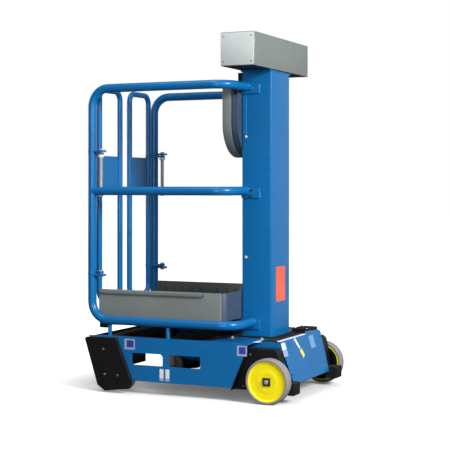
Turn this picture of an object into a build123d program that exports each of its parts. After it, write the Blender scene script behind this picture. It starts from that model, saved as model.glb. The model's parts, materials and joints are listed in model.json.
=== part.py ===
from build123d import *
import math
import os

# A push-around personnel lift with a telescoping mast, wound up by hand from its platform.
# The origin is on the floor under the middle of the machine, +X towards the mast, +Z up.
# Right is -Y and left is +Y, as seen by someone who faces the mast. Millimetres throughout.

# Overall
overall_length = 985.0
overall_width = 700.0
overall_height = 1550.0

# Clearances
weld_gap = 0.2  # between pieces that are welded or bolted face to face
bearing_gap = 0.3  # between a turning piece and its shaft
slide_gap = 0.3  # between a slide pad and the mast section that runs on it
gate_gap = 2.0  # between a gate's arm and the fixed bracket beside it

# Guard rails, one bent tube on each side, closed by a plate where it meets the column
rail_d = 38.0
rail_bend = 80.0
rail_in = 59.0  # from the machine's side
rail_top_drop = 215.0  # from the top of the tray, as every drop below
rail_mid_drop = 669.0
rail_low_z = 310.0
rail_end_back = 50.0  # from the middle of the column towards the platform
low_rail_end_back = 20.0
end_plate_l = 85.0
end_plate_h = 43.0
end_plate_rise = 13.0  # above the middle of the rail
end_plate_t = 6.0

# Telescoping mast: an outer column on the platform, a middle section and a fixed base section
column_set_back = 250.5  # from the mast end
column_depth = 141.0
column_width = 207.0
column_wall = 3.0
column_bottom_z = 235.0
pad_t = 6.7
middle_wall = 4.0
middle_top_drop = 15.0  # below the column's top
base_wall = 5.0
base_top_drop = 30.0  # below the column's top
pad_length = 60.0
pad_width = 40.0

# Chassis
chassis_top_z = 245.0
chassis_bottom_z = 57.0
side_sheet = 3.0
side_in = 20.0  # from the machine's side
side_flange = 25.0
slope_top_back = 87.0  # from the wheel's axle
slope_bottom_back = 167.0
entry_top_in = 24.5  # from the entry end
entry_bottom_in = 80.5
entry_low_z = 70.0
lower_flange_in = 257.5
fork_slot_in = 242.5
fork_slot_space = 31.0  # between the two slots
fork_slot_clear = 33.0  # from the second slot to the mast's frame
fork_slot_low_z = 127.0
fork_slot_high_z = 178.0
fork_slot_r = 4.0
first_tube_in = 109.5
middle_tube_back = 9.0  # from the middle of the space between the slots
last_tube_clear = 27.0  # from the mast's frame
cross_tube_w = 50.0
cross_tube_h = 40.0
cross_tube_wall = 3.0
mast_wall_in = 110.0  # from the machine's side
mast_wall_t = 6.0
mast_frame_back = 130.0  # from the middle of the column
foot_plate_t = 10.0
web_top_z = 226.0
deck_sheet = 4.0
mast_slot_gap = 7.5

# Sloping end panel
panel_top_in = 84.5  # from the mast end
panel_bottom_in = 31.5
panel_top_z = 248.0
panel_bottom_z = 70.0
panel_taper = 27.0
panel_lip = 12.0
tab_low_y = 60.0
tab_in = 15.0  # from the panel's far edge
tab_z = (262.0, 253.0)  # at the tab's near and far ends

# Low black cover on the chassis beside the mast
cover_x_in = (174.5, 96.5)  # from the mast end
cover_low_y = 118.0
cover_side_gap = 4.0  # from the mast frame's side
cover_h = 21.0

# Wheels at the mast end
wheel_r = 95.0
wheel_w = 50.0
wheel_in = 102.5  # axle from the mast end
tyre_t = 11.0
tyre_shoulder = 5.0
rim_t = 8.0
rim_set_back = 3.0
web_t = 9.0
web_set_back = 7.0
boss_r = 27.0
axle_r = 12.5
washer_side = 34.0
washer_t = 2.7
nut_flats = 30.0

# Black wheel guards
guard_gap = 5.0
guard_wall = 4.0
guard_bottom_z = 48.0
guard_top_z = 222.0
guard_foot_in = 54.5  # from the mast end
guard_foot_z = 92.0
guard_shoulder = ((66.5, 175.0), (74.5, 210.0), (88.5, 222.0))  # from the mast end, Z

# Rubber blocks behind the wheels
block_in = (125.0, 56.0)  # from the machine's side
block_z = (36.0, 88.0)
block_round = 4.0

# Black corner bumpers at the entry end
bumper_wall = 4.0
bumper_round = 8.0
bumper_outline = (  # from the entry end, Z
    (12.5, 238.0), (169.5, 241.0), (244.5, 64.0), (239.5, 24.0), (116.5, 7.0), (79.5, 31.0))
bumper_bosses = ((108.5, 189.0), (116.5, 80.0), (179.5, 78.0))  # from the entry end, Z
bumper_boss_r = 9.0

# Castors at the entry end
castor_in = 117.5  # swivel from the entry end
castor_side_in = 118.0  # from the machine's side
castor_r = 50.0
castor_w = 28.0
castor_trail = 35.0
castor_axle_r = 6.0
castor_tread = 12.0
castor_wheel_gap = 5.0
fork_sheet = 4.0
fork_side_gap = 2.0
fork_leg_w = 30.0
race_r = 30.0
race_h = 5.7
castor_plate_t = 6.0
castor_plate_reach = (49.0, 90.0)  # from the swivel, towards the entry end and the mast end
castor_plate_l = 187.0
castor_web_t = 5.0

# Stubs on the chassis that the lowered guard rails rest near
stub_r = 9.0

# Platform
deck_z = 330.0
deck_t = 4.0
deck_rib_pitch = 25.0
deck_rib_w = 6.0
deck_rib_h = 1.5
platform_in = 42.0  # from the entry end
platform_gap = 2.0  # from the column
kick_wall = 4.0
kick_top_z = 445.0
kick_corner_r = 30.0
kick_rib_pitch = 50.0
kick_rib_w = 14.0
kick_rib_t = 2.5
sill_z = 345.0
band_low_z = 423.0
band_end_back = 101.5  # from the platform's mast end
band_t = 8.0
beam_y = 120.0
beam_w = 40.0
beam_h = 36.0
beam_wall = 3.0
cross_beam_in = (85.5, 300.5)  # from the platform's entry end
last_beam_back = 54.5  # from the platform's mast end
buffer_side = 40.0
buffer_bottom_z = 272.0
buffer_in = 41.0  # from the guard rail

# Gates
gate_bar_d = 25.0
gate_inner_y = 45.0
gate_outer_in = 61.0  # from the guard rail
gate_top_rise = 2.0  # above the guard rail
gate_bottom_z = 390.0
gate_corner_r = 40.0
gate_plate_rise = (13.0, 158.0)  # above the middle rail
gate_plate_t = 3.0
hinge_set_in = 44.0  # from the entry posts
pin_r = 6.0
bracket_l = 69.0
bracket_w = 30.0
bracket_t = 9.0
arm_t = 9.0
arm_w = 26.0
upper_bracket_rise = 181.0  # above the middle rail
lower_bracket_z = 504.0
spring_r = 9.3
spring_wire = 2.6
spring_turns = 6

# Winding gear on the platform side of the column
housing_depth = 36.0
housing_seam = 7.0
back_shell_depth = 31.3
housing_r = 148.0
housing_drop = 373.0
housing_rise = 153.0  # from the crank's axis to the flat top
housing_wall = 3.0
spigot_t = 3.0
spigot_lap = 8.0
crank_radius = 110.0
crank_hub_r = 24.0
crank_hub_l = 24.0
crank_arm_t = 10.0
crank_arm_w = 30.0
grip_r = 14.0
grip_l = 88.0

# Tool tray on top of the mast
tray_reach = (77.0, 79.0)  # from the middle of the column, towards the platform and the mast end
tray_side_in = 39.0  # from the machine's side
tray_h = 143.0
tray_sheet = 2.0
tray_hem = 8.0
tray_plate_t = 6.6
tray_plate_over = 14.0  # past the column's sides

# Places worked out from the sizes above
entry_end = -overall_length / 2
mast_end = overall_length / 2
post_x = entry_end + rail_d / 2
rail_y = overall_width / 2 - rail_in
rail_top_z = overall_height - rail_top_drop
rail_mid_z = overall_height - rail_mid_drop
column_x = mast_end - column_set_back
column_side_y = column_width / 2
column_x0 = column_x - column_depth / 2
rail_end_x = column_x - rail_end_back
low_rail_end_x = column_x - low_rail_end_back
tray_bottom_z = overall_height - tray_h
column_top_z = tray_bottom_z - tray_plate_t - 2 * weld_gap
middle_top_z = column_top_z - middle_top_drop
middle_bottom_z = chassis_top_z
base_top_z = column_top_z - base_top_drop
shell_step = column_wall + pad_t + slide_gap
middle_depth = column_depth - 2 * shell_step
middle_width = column_width - 2 * shell_step
middle_step = middle_wall + pad_t + slide_gap
base_depth = middle_depth - 2 * middle_step
base_width = middle_width - 2 * middle_step
wheel_x = mast_end - wheel_in
wheel_out_y = overall_width / 2
wheel_in_y = wheel_out_y - wheel_w
slope_top_x = wheel_x - slope_top_back
slope_bottom_x = wheel_x - slope_bottom_back
side_y = overall_width / 2 - side_in
side_in_y = side_y - side_sheet
entry_top_x = entry_end + entry_top_in
entry_bottom_x = entry_end + entry_bottom_in
lower_flange_x = entry_end + lower_flange_in
mast_wall_y = overall_width / 2 - mast_wall_in
mast_wall_front_x = column_x - mast_frame_back
slot_start_x = entry_end + fork_slot_in
slot_end_x = mast_wall_front_x - fork_slot_clear
slot_l = (slot_end_x - slot_start_x - fork_slot_space) / 2
fork_slots = ((slot_start_x, slot_start_x + slot_l), (slot_end_x - slot_l, slot_end_x))
cross_tube_x = (
    entry_end + first_tube_in, (slot_start_x + slot_end_x) / 2 - middle_tube_back,
    mast_wall_front_x - last_tube_clear)
panel_top_x = mast_end - panel_top_in
panel_bottom_x = mast_end - panel_bottom_in
panel_bottom_y = mast_wall_y - panel_taper
guard_foot_x = mast_end - guard_foot_in
guard_out_y = wheel_in_y - guard_gap
castor_x = entry_end + castor_in
castor_y = overall_width / 2 - castor_side_in
castor_plate_z = castor_r * 2 + castor_wheel_gap + fork_sheet + race_h + bearing_gap
tube_bottom_z = chassis_top_z - side_sheet - weld_gap - cross_tube_h
platform_x = (entry_end + platform_in, column_x0 - platform_gap)
cross_beam_x = (
    platform_x[0] + cross_beam_in[0], platform_x[0] + cross_beam_in[1], platform_x[1] - last_beam_back)
deck_under_z = deck_z - deck_t
beam_bottom_z = deck_under_z - beam_h
kick_out_y = rail_y - rail_d / 2 - weld_gap
kick_in_y = kick_out_y - kick_wall
gate_outer_y = rail_y - gate_outer_in
gate_top_z = rail_top_z + gate_top_rise
hinge_x = post_x + hinge_set_in
upper_bracket_z = rail_mid_z + upper_bracket_rise
upper_arm_z = upper_bracket_z - 2 * bracket_t - gate_gap
lower_arm_z = lower_bracket_z + bracket_t + gate_gap
back_shell_x = (column_x0 - weld_gap - back_shell_depth, column_x0 - weld_gap)
housing_x = (back_shell_x[0] - housing_seam - housing_depth, back_shell_x[0] - housing_seam)
housing_z = overall_height - housing_drop
housing_top_z = housing_z + housing_rise
tray_x = (column_x - tray_reach[0], column_x + tray_reach[1])
tray_y = overall_width / 2 - tray_side_in


# Shapes that several pieces use
def block(x, y, z):
    # a box from three (low, high) pairs
    low = [min(ends) for ends in (x, y, z)]
    high = [max(ends) for ends in (x, y, z)]
    middle = [(a + b) / 2 for a, b in zip(low, high)]
    size = [b - a for a, b in zip(low, high)]
    return Pos(*middle) * Box(*size)


def outline_face(points, radius=0):
    if radius:
        return make_face(FilletPolyline(*points, radius=radius, close=True))
    return make_face(Polyline(*points, close=True))


def slab_xz(face, y):
    low, high = sorted(y)
    plane = Plane(origin=(0, high, 0), x_dir=(1, 0, 0), z_dir=(0, -1, 0))
    return extrude(plane * face, amount=high - low)


def slab_yz(face, x):
    low, high = sorted(x)
    plane = Plane(origin=(low, 0, 0), x_dir=(0, 1, 0), z_dir=(1, 0, 0))
    return extrude(plane * face, amount=high - low)


def slab_xy(face, z):
    low, high = sorted(z)
    return extrude(Pos(0, 0, low) * face, amount=high - low)


def rod_x(radius, x, y, z):
    low, high = sorted(x)
    return Pos((low + high) / 2, y, z) * Rot(0, 90, 0) * Cylinder(radius, high - low)


def rod_y(radius, x, y, z):
    low, high = sorted(y)
    return Pos(x, (low + high) / 2, z) * Rot(90, 0, 0) * Cylinder(radius, high - low)


def rod_z(radius, x, y, z):
    low, high = sorted(z)
    return Pos(x, y, (low + high) / 2) * Cylinder(radius, high - low)


def bent_bar(points, radius, diameter):
    # a round bar along straight runs joined by arcs
    path = FilletPolyline(*points, radius=radius)
    return sweep(Plane(origin=path @ 0, z_dir=path % 0) * Circle(diameter / 2), path=path)


def box_tube(x, y, z, wall):
    # an upright rectangular tube, open at both ends
    inner_x = (x[0] + wall, x[1] - wall)
    inner_y = (y[0] + wall, y[1] - wall)
    return block(x, y, z) - block(inner_x, inner_y, (z[0] - 1, z[1] + 1))


def pair(centre, size):
    return (centre - size / 2, centre + size / 2)


def slope_x(z):
    # the side sheet's slanted edge in front of the wheel
    run = slope_top_x - slope_bottom_x
    return slope_bottom_x + run * (z - chassis_bottom_z) / (chassis_top_z - chassis_bottom_z)


def entry_x(z):
    # the side sheet's slanted edge at the entry end
    run = entry_top_x - entry_bottom_x
    return entry_bottom_x + run * (z - entry_low_z) / (chassis_top_z - entry_low_z)


def panel_x(z):
    # the outer face of the sloping end panel
    run = panel_top_x - panel_bottom_x
    return panel_bottom_x + run * (z - panel_bottom_z) / (panel_top_z - panel_bottom_z)


# Chassis
def side_plate(side):
    outline = [
        (entry_top_x, chassis_top_z), (slope_top_x, chassis_top_z),
        (slope_bottom_x, chassis_bottom_z), (lower_flange_x, chassis_bottom_z),
        (entry_bottom_x, entry_low_z)]
    sheet = slab_xz(outline_face(outline), (side * side_in_y, side * side_y))
    flange_y = (side * (side_y - side_flange), side * side_in_y)
    top_z = (chassis_top_z - side_sheet, chassis_top_z)
    bottom_z = (chassis_bottom_z, chassis_bottom_z + side_sheet)
    sheet += block((entry_top_x + side_flange, mast_wall_front_x), flange_y, top_z)
    sheet += block((lower_flange_x, slope_bottom_x - side_flange), flange_y, bottom_z)
    for x in fork_slots:
        size = (x[1] - x[0], fork_slot_high_z - fork_slot_low_z)
        centre = ((x[0] + x[1]) / 2, (fork_slot_low_z + fork_slot_high_z) / 2)
        slot = Pos(*centre) * RectangleRounded(*size, fork_slot_r)
        sheet -= slab_xz(slot, (side * (side_in_y - 1), side * (side_y + 1)))
    return sheet


def cross_tubes():
    tubes = []
    z = (tube_bottom_z, tube_bottom_z + cross_tube_h)
    inner_z = (z[0] + cross_tube_wall, z[1] - cross_tube_wall)
    reach = side_in_y - weld_gap
    for x in cross_tube_x:
        tube = block(pair(x, cross_tube_w), (-reach, reach), z)
        bore = block(pair(x, cross_tube_w - 2 * cross_tube_wall), (-reach - 1, reach + 1), inner_z)
        tubes.append(tube - bore)
    return tubes


def mast_frame():
    # two upright sheets on a foot plate, with webs that hold the base section
    top = chassis_top_z - deck_sheet - weld_gap
    back = guard_foot_x - 1
    outline = [
        (mast_wall_front_x, chassis_bottom_z), (mast_wall_front_x, top),
        (panel_x(top) - 2 * side_sheet, top), (back, guard_foot_z + 40), (back, chassis_bottom_z)]
    frame = None
    for side in (-1, 1):
        wall_y = (side * (mast_wall_y - mast_wall_t), side * mast_wall_y)
        wall = slab_xz(outline_face(outline), wall_y)
        frame = wall if frame is None else frame + wall
    inside = mast_wall_y - mast_wall_t
    foot_z = (chassis_bottom_z, chassis_bottom_z + foot_plate_t)
    frame += block((mast_wall_front_x, back), (-inside, inside), foot_z)
    for x in (column_x - base_depth / 2 - weld_gap, column_x + base_depth / 2 + weld_gap):
        outward = math.copysign(mast_wall_t, x - column_x)
        frame += block((x, x + outward), (-inside, inside), (foot_z[1], web_top_z))
    for side in (-1, 1):
        frame -= rod_y(axle_r + weld_gap, wheel_x, (side * (inside - 1), side * (mast_wall_y + 1)), wheel_r)
    return frame


def top_deck():
    front = mast_wall_front_x + weld_gap
    wide = side_in_y - weld_gap
    narrow = mast_wall_y
    back = panel_x(chassis_top_z) - 2 * side_sheet
    outline = [
        (front, -wide), (slope_top_x, -wide), (slope_top_x, -narrow), (back, -narrow),
        (back, narrow), (slope_top_x, narrow), (slope_top_x, wide), (front, wide)]
    deck = slab_xy(outline_face(outline), (chassis_top_z - deck_sheet, chassis_top_z))
    slot_x = pair(column_x, column_depth + 2 * mast_slot_gap)
    slot_y = pair(0, column_width + 2 * mast_slot_gap)
    return deck - block(slot_x, slot_y, (chassis_top_z - deck_sheet - 1, chassis_top_z + 1))


def end_panel():
    t = side_sheet
    top = max(tab_z)
    sheet = [
        (panel_x(top) - t, top), (panel_x(top), top),
        (panel_bottom_x, panel_bottom_z), (panel_bottom_x - t, panel_bottom_z)]
    tab_high_y = mast_wall_y - tab_in
    front = [
        (-panel_bottom_y, panel_bottom_z), (panel_bottom_y, panel_bottom_z),
        (mast_wall_y, panel_top_z), (tab_high_y, panel_top_z), (tab_high_y, tab_z[1]),
        (tab_low_y, tab_z[0]), (tab_low_y, panel_top_z), (-mast_wall_y, panel_top_z)]
    reach = (panel_x(top) - 2 * t, panel_bottom_x + t)
    panel = slab_xz(outline_face(sheet), (-mast_wall_y, mast_wall_y))
    panel = panel & slab_yz(outline_face(front), reach)
    lip_x = (panel_x(panel_top_z) - panel_lip, panel_x(panel_top_z) - 1)
    lip_y = (-mast_wall_y, tab_low_y - 1)
    return panel + block(lip_x, lip_y, (panel_top_z - t + weld_gap, panel_top_z))


def entry_panel():
    low = castor_plate_z + castor_plate_t + weld_gap
    high = chassis_top_z - side_sheet - weld_gap
    shift = 2 * side_sheet
    outline = [
        (entry_x(high) + shift, high), (entry_x(high) + shift + side_sheet, high),
        (entry_x(low) + shift + side_sheet, low), (entry_x(low) + shift, low)]
    reach = side_in_y - weld_gap
    return slab_xz(outline_face(outline), (-reach, reach))


def equipment_cover():
    x = [mast_end - inset for inset in cover_x_in]
    y = (cover_low_y, mast_wall_y - cover_side_gap)
    body = block(x, y, (chassis_top_z + weld_gap, chassis_top_z + cover_h))
    return fillet(body.edges().filter_by(Axis.Z) + body.faces().sort_by(Axis.Z)[-1].edges(), block_round)


def wheel_guard(side):
    outline = [(guard_foot_x, guard_bottom_z), (guard_foot_x, guard_foot_z)]
    outline += [(mast_end - inset, z) for inset, z in guard_shoulder]
    outline += [
        (slope_x(guard_top_z) + guard_wall, guard_top_z),
        (slope_x(guard_bottom_z) + guard_wall, guard_bottom_z)]
    face = outline_face(outline)
    inner = offset(face, -guard_wall, kind=Kind.INTERSECTION)
    inside_y = mast_wall_y + weld_gap
    guard = slab_xz(face, (side * inside_y, side * guard_out_y))
    guard -= slab_xz(inner, (side * (inside_y - 1), side * (guard_out_y - guard_wall)))
    edge = [
        (slope_x(guard_bottom_z), guard_bottom_z), (slope_x(guard_top_z), guard_top_z),
        (slope_x(guard_top_z) + guard_wall, guard_top_z),
        (slope_x(guard_bottom_z) + guard_wall, guard_bottom_z)]
    guard += slab_xz(outline_face(edge), (side * (guard_out_y - guard_wall), side * (side_in_y - weld_gap)))
    bore_y = (side * (inside_y - 1), side * (guard_out_y + 1))
    return guard - rod_y(axle_r + weld_gap, wheel_x, bore_y, wheel_r)


def rubber_block(side):
    x = (guard_foot_x + weld_gap, mast_end)
    y = [side * (overall_width / 2 - inset) for inset in block_in]
    body = block(x, y, block_z)
    return fillet(body.edges().filter_by(Axis.Y), block_round)


def bumper(side):
    # a moulding open towards the machine, with a boss for each screw
    face = outline_face([(entry_end + inset, z) for inset, z in bumper_outline], bumper_round)
    inner = offset(face, -bumper_wall)
    root = side_y + weld_gap
    skin = side * (wheel_out_y - bumper_wall)
    shell = slab_xz(face, (side * root, side * wheel_out_y))
    shell -= slab_xz(inner, (side * (root - 1), skin))
    for inset, z in bumper_bosses:
        shell += rod_y(bumper_boss_r, entry_end + inset, (side * root, skin), z)
    return shell


def axle_stub(side):
    nut_in = wheel_out_y - web_set_back + bearing_gap
    inner = mast_wall_y - mast_wall_t
    axle = rod_y(axle_r, wheel_x, (side * inner, side * (nut_in + washer_t)), wheel_r)
    axle += block(
        pair(wheel_x, washer_side), (side * nut_in, side * (nut_in + washer_t)), pair(wheel_r, washer_side))
    nut = RegularPolygon(nut_flats / 2, 6, major_radius=False)
    return axle + slab_xz(Pos(wheel_x, wheel_r) * nut, (side * (nut_in + washer_t), side * wheel_out_y))


def castor_mount(side):
    # a plate under the first cross tube, folded up towards the fork slots
    outer_y = side_in_y - weld_gap
    y = (side * (outer_y - castor_plate_l), side * outer_y)
    x = (castor_x - castor_plate_reach[0], castor_x + castor_plate_reach[1])
    plate_z = (castor_plate_z, castor_plate_z + castor_plate_t)
    web_z = (plate_z[1], tube_bottom_z - weld_gap)
    mount = block(x, y, plate_z)
    for edge in (-1, 1):
        outer = cross_tube_x[0] + edge * cross_tube_w / 2
        mount += block((outer - edge * castor_web_t, outer), y, web_z)
    return mount + block((x[1] - castor_web_t, x[1]), y, web_z)


def platform_stubs():
    z = (chassis_top_z - side_sheet, beam_bottom_z - weld_gap)
    return [rod_z(stub_r, x, side * rail_y, z) for x in cross_tube_x[:2] for side in (-1, 1)]


def base_mast():
    foot = chassis_bottom_z + foot_plate_t + weld_gap
    return box_tube(
        pair(column_x, base_depth), pair(0, base_width), (foot, base_top_z), base_wall)


# Nylon pads around the top of a mast section and around its neighbour's foot
def pad_ring(depth, width, top):
    z = (top - pad_length, top)
    pads = []
    for end in (-1, 1):
        x = column_x + end * (depth / 2 + weld_gap)
        y = end * (width / 2 + weld_gap)
        pads.append(block((x, x + end * (pad_t - weld_gap)), pair(0, pad_width), z))
        pads.append(block(pair(column_x, pad_width), (y, y + end * (pad_t - weld_gap)), z))
    return pads


def middle_mast():
    return box_tube(
        pair(column_x, middle_depth), pair(0, middle_width), (middle_bottom_z, middle_top_z), middle_wall)


# Wheels
def wheel_ring(section, side):
    # turned from a half section: radius, distance from the outer face
    plane = Plane(origin=(wheel_x, side * wheel_out_y, wheel_r), x_dir=(1, 0, 0), z_dir=(0, 0, side))
    face = plane * outline_face([(r, -d) for r, d in section])
    return revolve(face, Axis((wheel_x, 0, wheel_r), (0, 1, 0)))


def wheel_tyre(side):
    inner = wheel_r - tyre_t
    edge = tyre_shoulder
    nip = tyre_shoulder / 3
    return wheel_ring([
        (inner, 0), (wheel_r - edge, 0), (wheel_r - nip, nip), (wheel_r, edge), (wheel_r, wheel_w - edge),
        (wheel_r - nip, wheel_w - nip), (wheel_r - edge, wheel_w), (inner, wheel_w)], side)


def wheel_hub(side):
    rim = wheel_r - tyre_t - weld_gap
    bore = axle_r + bearing_gap
    return wheel_ring([
        (rim, rim_set_back), (rim, wheel_w - rim_set_back), (rim - rim_t, wheel_w - rim_set_back),
        (rim - rim_t, web_set_back + web_t), (boss_r, web_set_back + web_t),
        (boss_r, wheel_w - rim_set_back), (bore, wheel_w - rim_set_back), (bore, web_set_back),
        (rim - rim_t, web_set_back), (rim - rim_t + web_set_back / 2, rim_set_back)], side)


# Castors
def castor_fork(side):
    y = side * castor_y
    inside = castor_w / 2 + fork_side_gap
    outside = inside + fork_sheet
    crown_z = (castor_r * 2 + castor_wheel_gap, castor_r * 2 + castor_wheel_gap + fork_sheet)
    axle_x = castor_x + castor_trail
    fork = block((castor_x - race_r, axle_x + fork_leg_w / 2), pair(y, 2 * outside), crown_z)
    leg = make_hull(
        (Pos(axle_x, castor_r) * Circle(fork_leg_w / 2)).edges()
        + outline_face([(castor_x - race_r, crown_z[0]), (axle_x + fork_leg_w / 2, crown_z[0]),
                        (axle_x + fork_leg_w / 2, crown_z[1]), (castor_x - race_r, crown_z[1])]).edges())
    for edge in (-1, 1):
        fork += slab_xz(leg, (y + edge * inside, y + edge * outside))
    fork += rod_z(race_r, castor_x, y, (crown_z[1], crown_z[1] + race_h))
    return fork + rod_y(castor_axle_r, axle_x, pair(y, 2 * outside + fork_sheet), castor_r)


def castor_ring(side, outer, inner, width):
    y = side * castor_y
    x = castor_x + castor_trail
    body = rod_y(outer, x, pair(y, width), castor_r)
    return body - rod_y(inner, x, pair(y, width + 2), castor_r)


def castor_tyre(side):
    return castor_ring(side, castor_r, castor_r - castor_tread, castor_w)


def castor_hub(side):
    return castor_ring(
        side, castor_r - castor_tread - weld_gap, castor_axle_r + bearing_gap, castor_w - fork_side_gap)


# Platform and column
def column():
    tube = box_tube(
        pair(column_x, column_depth), pair(0, column_width), (column_bottom_z, column_top_z), column_wall)
    return fillet(tube.edges().filter_by(Axis.Z), column_wall / 3)


def end_plate(side, rail_z):
    x = (column_x0 + weld_gap, column_x0 + weld_gap + end_plate_l)
    root = column_side_y + weld_gap
    top = rail_z + end_plate_rise
    return block(x, (side * root, side * (root + end_plate_t)), (top - end_plate_h, top))


def guard_rail(side):
    y = side * rail_y
    end_y = side * (column_side_y + weld_gap)
    points = [
        (rail_end_x, end_y, rail_top_z), (rail_end_x, y, rail_top_z), (post_x, y, rail_top_z),
        (post_x, y, rail_low_z), (low_rail_end_x, y, rail_low_z), (low_rail_end_x, end_y, rail_low_z)]
    rail = bent_bar(points, rail_bend, rail_d)
    return rail + end_plate(side, rail_top_z) + end_plate(side, rail_low_z)


def middle_rail(side):
    y = side * rail_y
    points = [
        (post_x, y, rail_mid_z), (rail_end_x, y, rail_mid_z),
        (rail_end_x, side * (column_side_y + weld_gap), rail_mid_z)]
    rail = bent_bar(points, rail_bend, rail_d)
    rail -= rod_z(rail_d / 2 + weld_gap, post_x, y, pair(rail_mid_z, 2 * rail_d))
    rail -= rod_z(pin_r + weld_gap, hinge_x, y, pair(rail_mid_z, 2 * rail_d))
    return rail + end_plate(side, rail_mid_z)


def kickboard():
    # a moulded wall round three sides, ribbed inside, with a low sill at the open end
    def u_outline(y, end_x, radius, start_x):
        points = [(start_x, -y), (end_x, -y), (end_x, y), (start_x, y)]
        return make_face(FilletPolyline(*points, radius=[0, radius, radius, 0], close=True))

    z = (deck_under_z + weld_gap, kick_top_z)
    inner_r = kick_corner_r - kick_wall
    end_in = platform_x[1] - kick_wall
    wall = slab_xy(u_outline(kick_out_y, platform_x[1] - weld_gap, kick_corner_r, platform_x[0]), z)
    wall -= slab_xy(
        u_outline(kick_in_y, end_in - weld_gap, inner_r, platform_x[0] - 1), (z[0] - 1, z[1] + 1))
    wall += block((platform_x[0], platform_x[0] + kick_wall), (-kick_in_y, kick_in_y), (z[0], sill_z))
    band_z = (band_low_z + kick_top_z) / 2
    band_h = kick_top_z - band_low_z
    band_l = platform_x[1] - band_end_back - platform_x[0]
    band = Pos(platform_x[0] + band_l / 2, band_z) * RectangleRounded(band_l, band_h, band_h / 2 - 0.1)
    rib_z = (deck_z + weld_gap, band_low_z)
    count = int((end_in - kick_corner_r - platform_x[0]) / kick_rib_pitch)
    for side in (-1, 1):
        wall += slab_xz(band, (side * kick_out_y, side * (kick_out_y + band_t)))
        rib_y = (side * (kick_in_y - kick_rib_t), side * kick_in_y)
        for i in range(count):
            x = platform_x[0] + kick_rib_pitch * (i + 0.75)
            wall += block(pair(x, kick_rib_w), rib_y, rib_z)
    return wall


def deck():
    x = (platform_x[0] + kick_wall + weld_gap, platform_x[1] - kick_wall - 2 * weld_gap)
    y = kick_in_y - weld_gap
    radius = kick_corner_r - kick_wall
    points = [(x[0], -y), (x[1], -y), (x[1], y), (x[0], y)]
    face = make_face(FilletPolyline(*points, radius=[0, radius, radius, 0], close=True))
    plate = slab_xy(face, (deck_under_z + weld_gap, deck_z))
    count = int((2 * y - 2 * kick_rib_t) / deck_rib_pitch)
    rib_x = (x[0] + deck_rib_pitch, x[1] - kick_corner_r)
    for i in range(count):
        rib_y = (i - (count - 1) / 2) * deck_rib_pitch
        plate += block(rib_x, pair(rib_y, deck_rib_w), (deck_z, deck_z + deck_rib_h))
    return plate


def underframe():
    # welded box sections, hollow throughout, coped round the low rails
    reach = rail_y
    front = platform_x[0]
    end = column_x0 - weld_gap
    z = (beam_bottom_z, deck_under_z)

    def grid(shrink):
        zs = (z[0] + shrink, z[1] - shrink)
        width = beam_w - 2 * shrink
        parts = [
            block((front + shrink, end - shrink), pair(side * beam_y, width), zs) for side in (-1, 1)]
        parts.append(block(pair(front + beam_w / 2, width), pair(0, 2 * (kick_in_y - shrink)), zs))
        parts += [block(pair(x, width), (-reach, reach), zs) for x in cross_beam_x]
        whole = parts[0]
        for part in parts[1:]:
            whole += part
        return whole

    frame = grid(0) - grid(beam_wall)
    for side in (-1, 1):
        cope = rod_x(rail_d / 2 + weld_gap, (front, end), side * rail_y, rail_low_z)
        frame -= cope
        outside = (side * (rail_y - weld_gap), side * (rail_y + rail_d))
        frame -= block((front, end), outside, (z[0] - 1, z[1] + 1))
    return Compound(children=[s for s in frame.solids() if s.volume > 1000])


def landing_buffers():
    x = (platform_x[0], platform_x[0] + buffer_side)
    z = (buffer_bottom_z, beam_bottom_z - weld_gap)
    return [block(x, pair(side * (rail_y - buffer_in), buffer_side), z) for side in (-1, 1)]


# Gates and their hinges
def gate_frame(side):
    inner = side * gate_inner_y
    outer = side * gate_outer_y
    middle = (gate_top_z + gate_bottom_z) / 2
    points = [
        (post_x, inner, middle), (post_x, inner, gate_top_z), (post_x, outer, gate_top_z),
        (post_x, outer, gate_bottom_z), (post_x, inner, gate_bottom_z), (post_x, inner, middle - 1)]
    frame = bent_bar(points, gate_corner_r, gate_bar_d)
    frame += rod_z(gate_bar_d / 2, post_x, inner, (middle - 1, middle))
    reach = math.hypot(hinge_x - post_x, rail_y - gate_outer_y)
    angle = math.degrees(math.atan2(side * (rail_y - gate_outer_y), hinge_x - post_x))
    centre = ((post_x + hinge_x) / 2, side * (gate_outer_y + rail_y) / 2)
    arm = Pos(*centre) * Rot(0, 0, angle) * SlotCenterToCenter(reach, arm_w)
    arm -= Pos(hinge_x, side * rail_y) * Circle(pin_r + bearing_gap)
    for low in (upper_arm_z, lower_arm_z):
        frame += slab_xy(arm, (low, low + arm_t))
    return frame


def gate_plate(side):
    edge = gate_bar_d / 2 + weld_gap
    y = (side * (gate_inner_y + edge), side * (gate_outer_y - edge))
    return block(pair(post_x, gate_plate_t), y, [rail_mid_z + rise for rise in gate_plate_rise])


def hinge_brackets(side):
    # two round-ended tongues on the entry post, which hold the pins
    y = side * rail_y
    straight = bracket_l - bracket_w / 2
    tongue = Pos(post_x + straight / 2, y) * Rectangle(straight, bracket_w)
    tongue += Pos(post_x + straight, y) * Circle(bracket_w / 2)
    tongue -= Pos(hinge_x, y) * Circle(pin_r + weld_gap)
    tongue -= Pos(post_x, y) * Circle(rail_d / 2 + weld_gap)
    return [slab_xy(tongue, (top - bracket_t, top)) for top in (upper_bracket_z, lower_bracket_z + bracket_t)]


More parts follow.
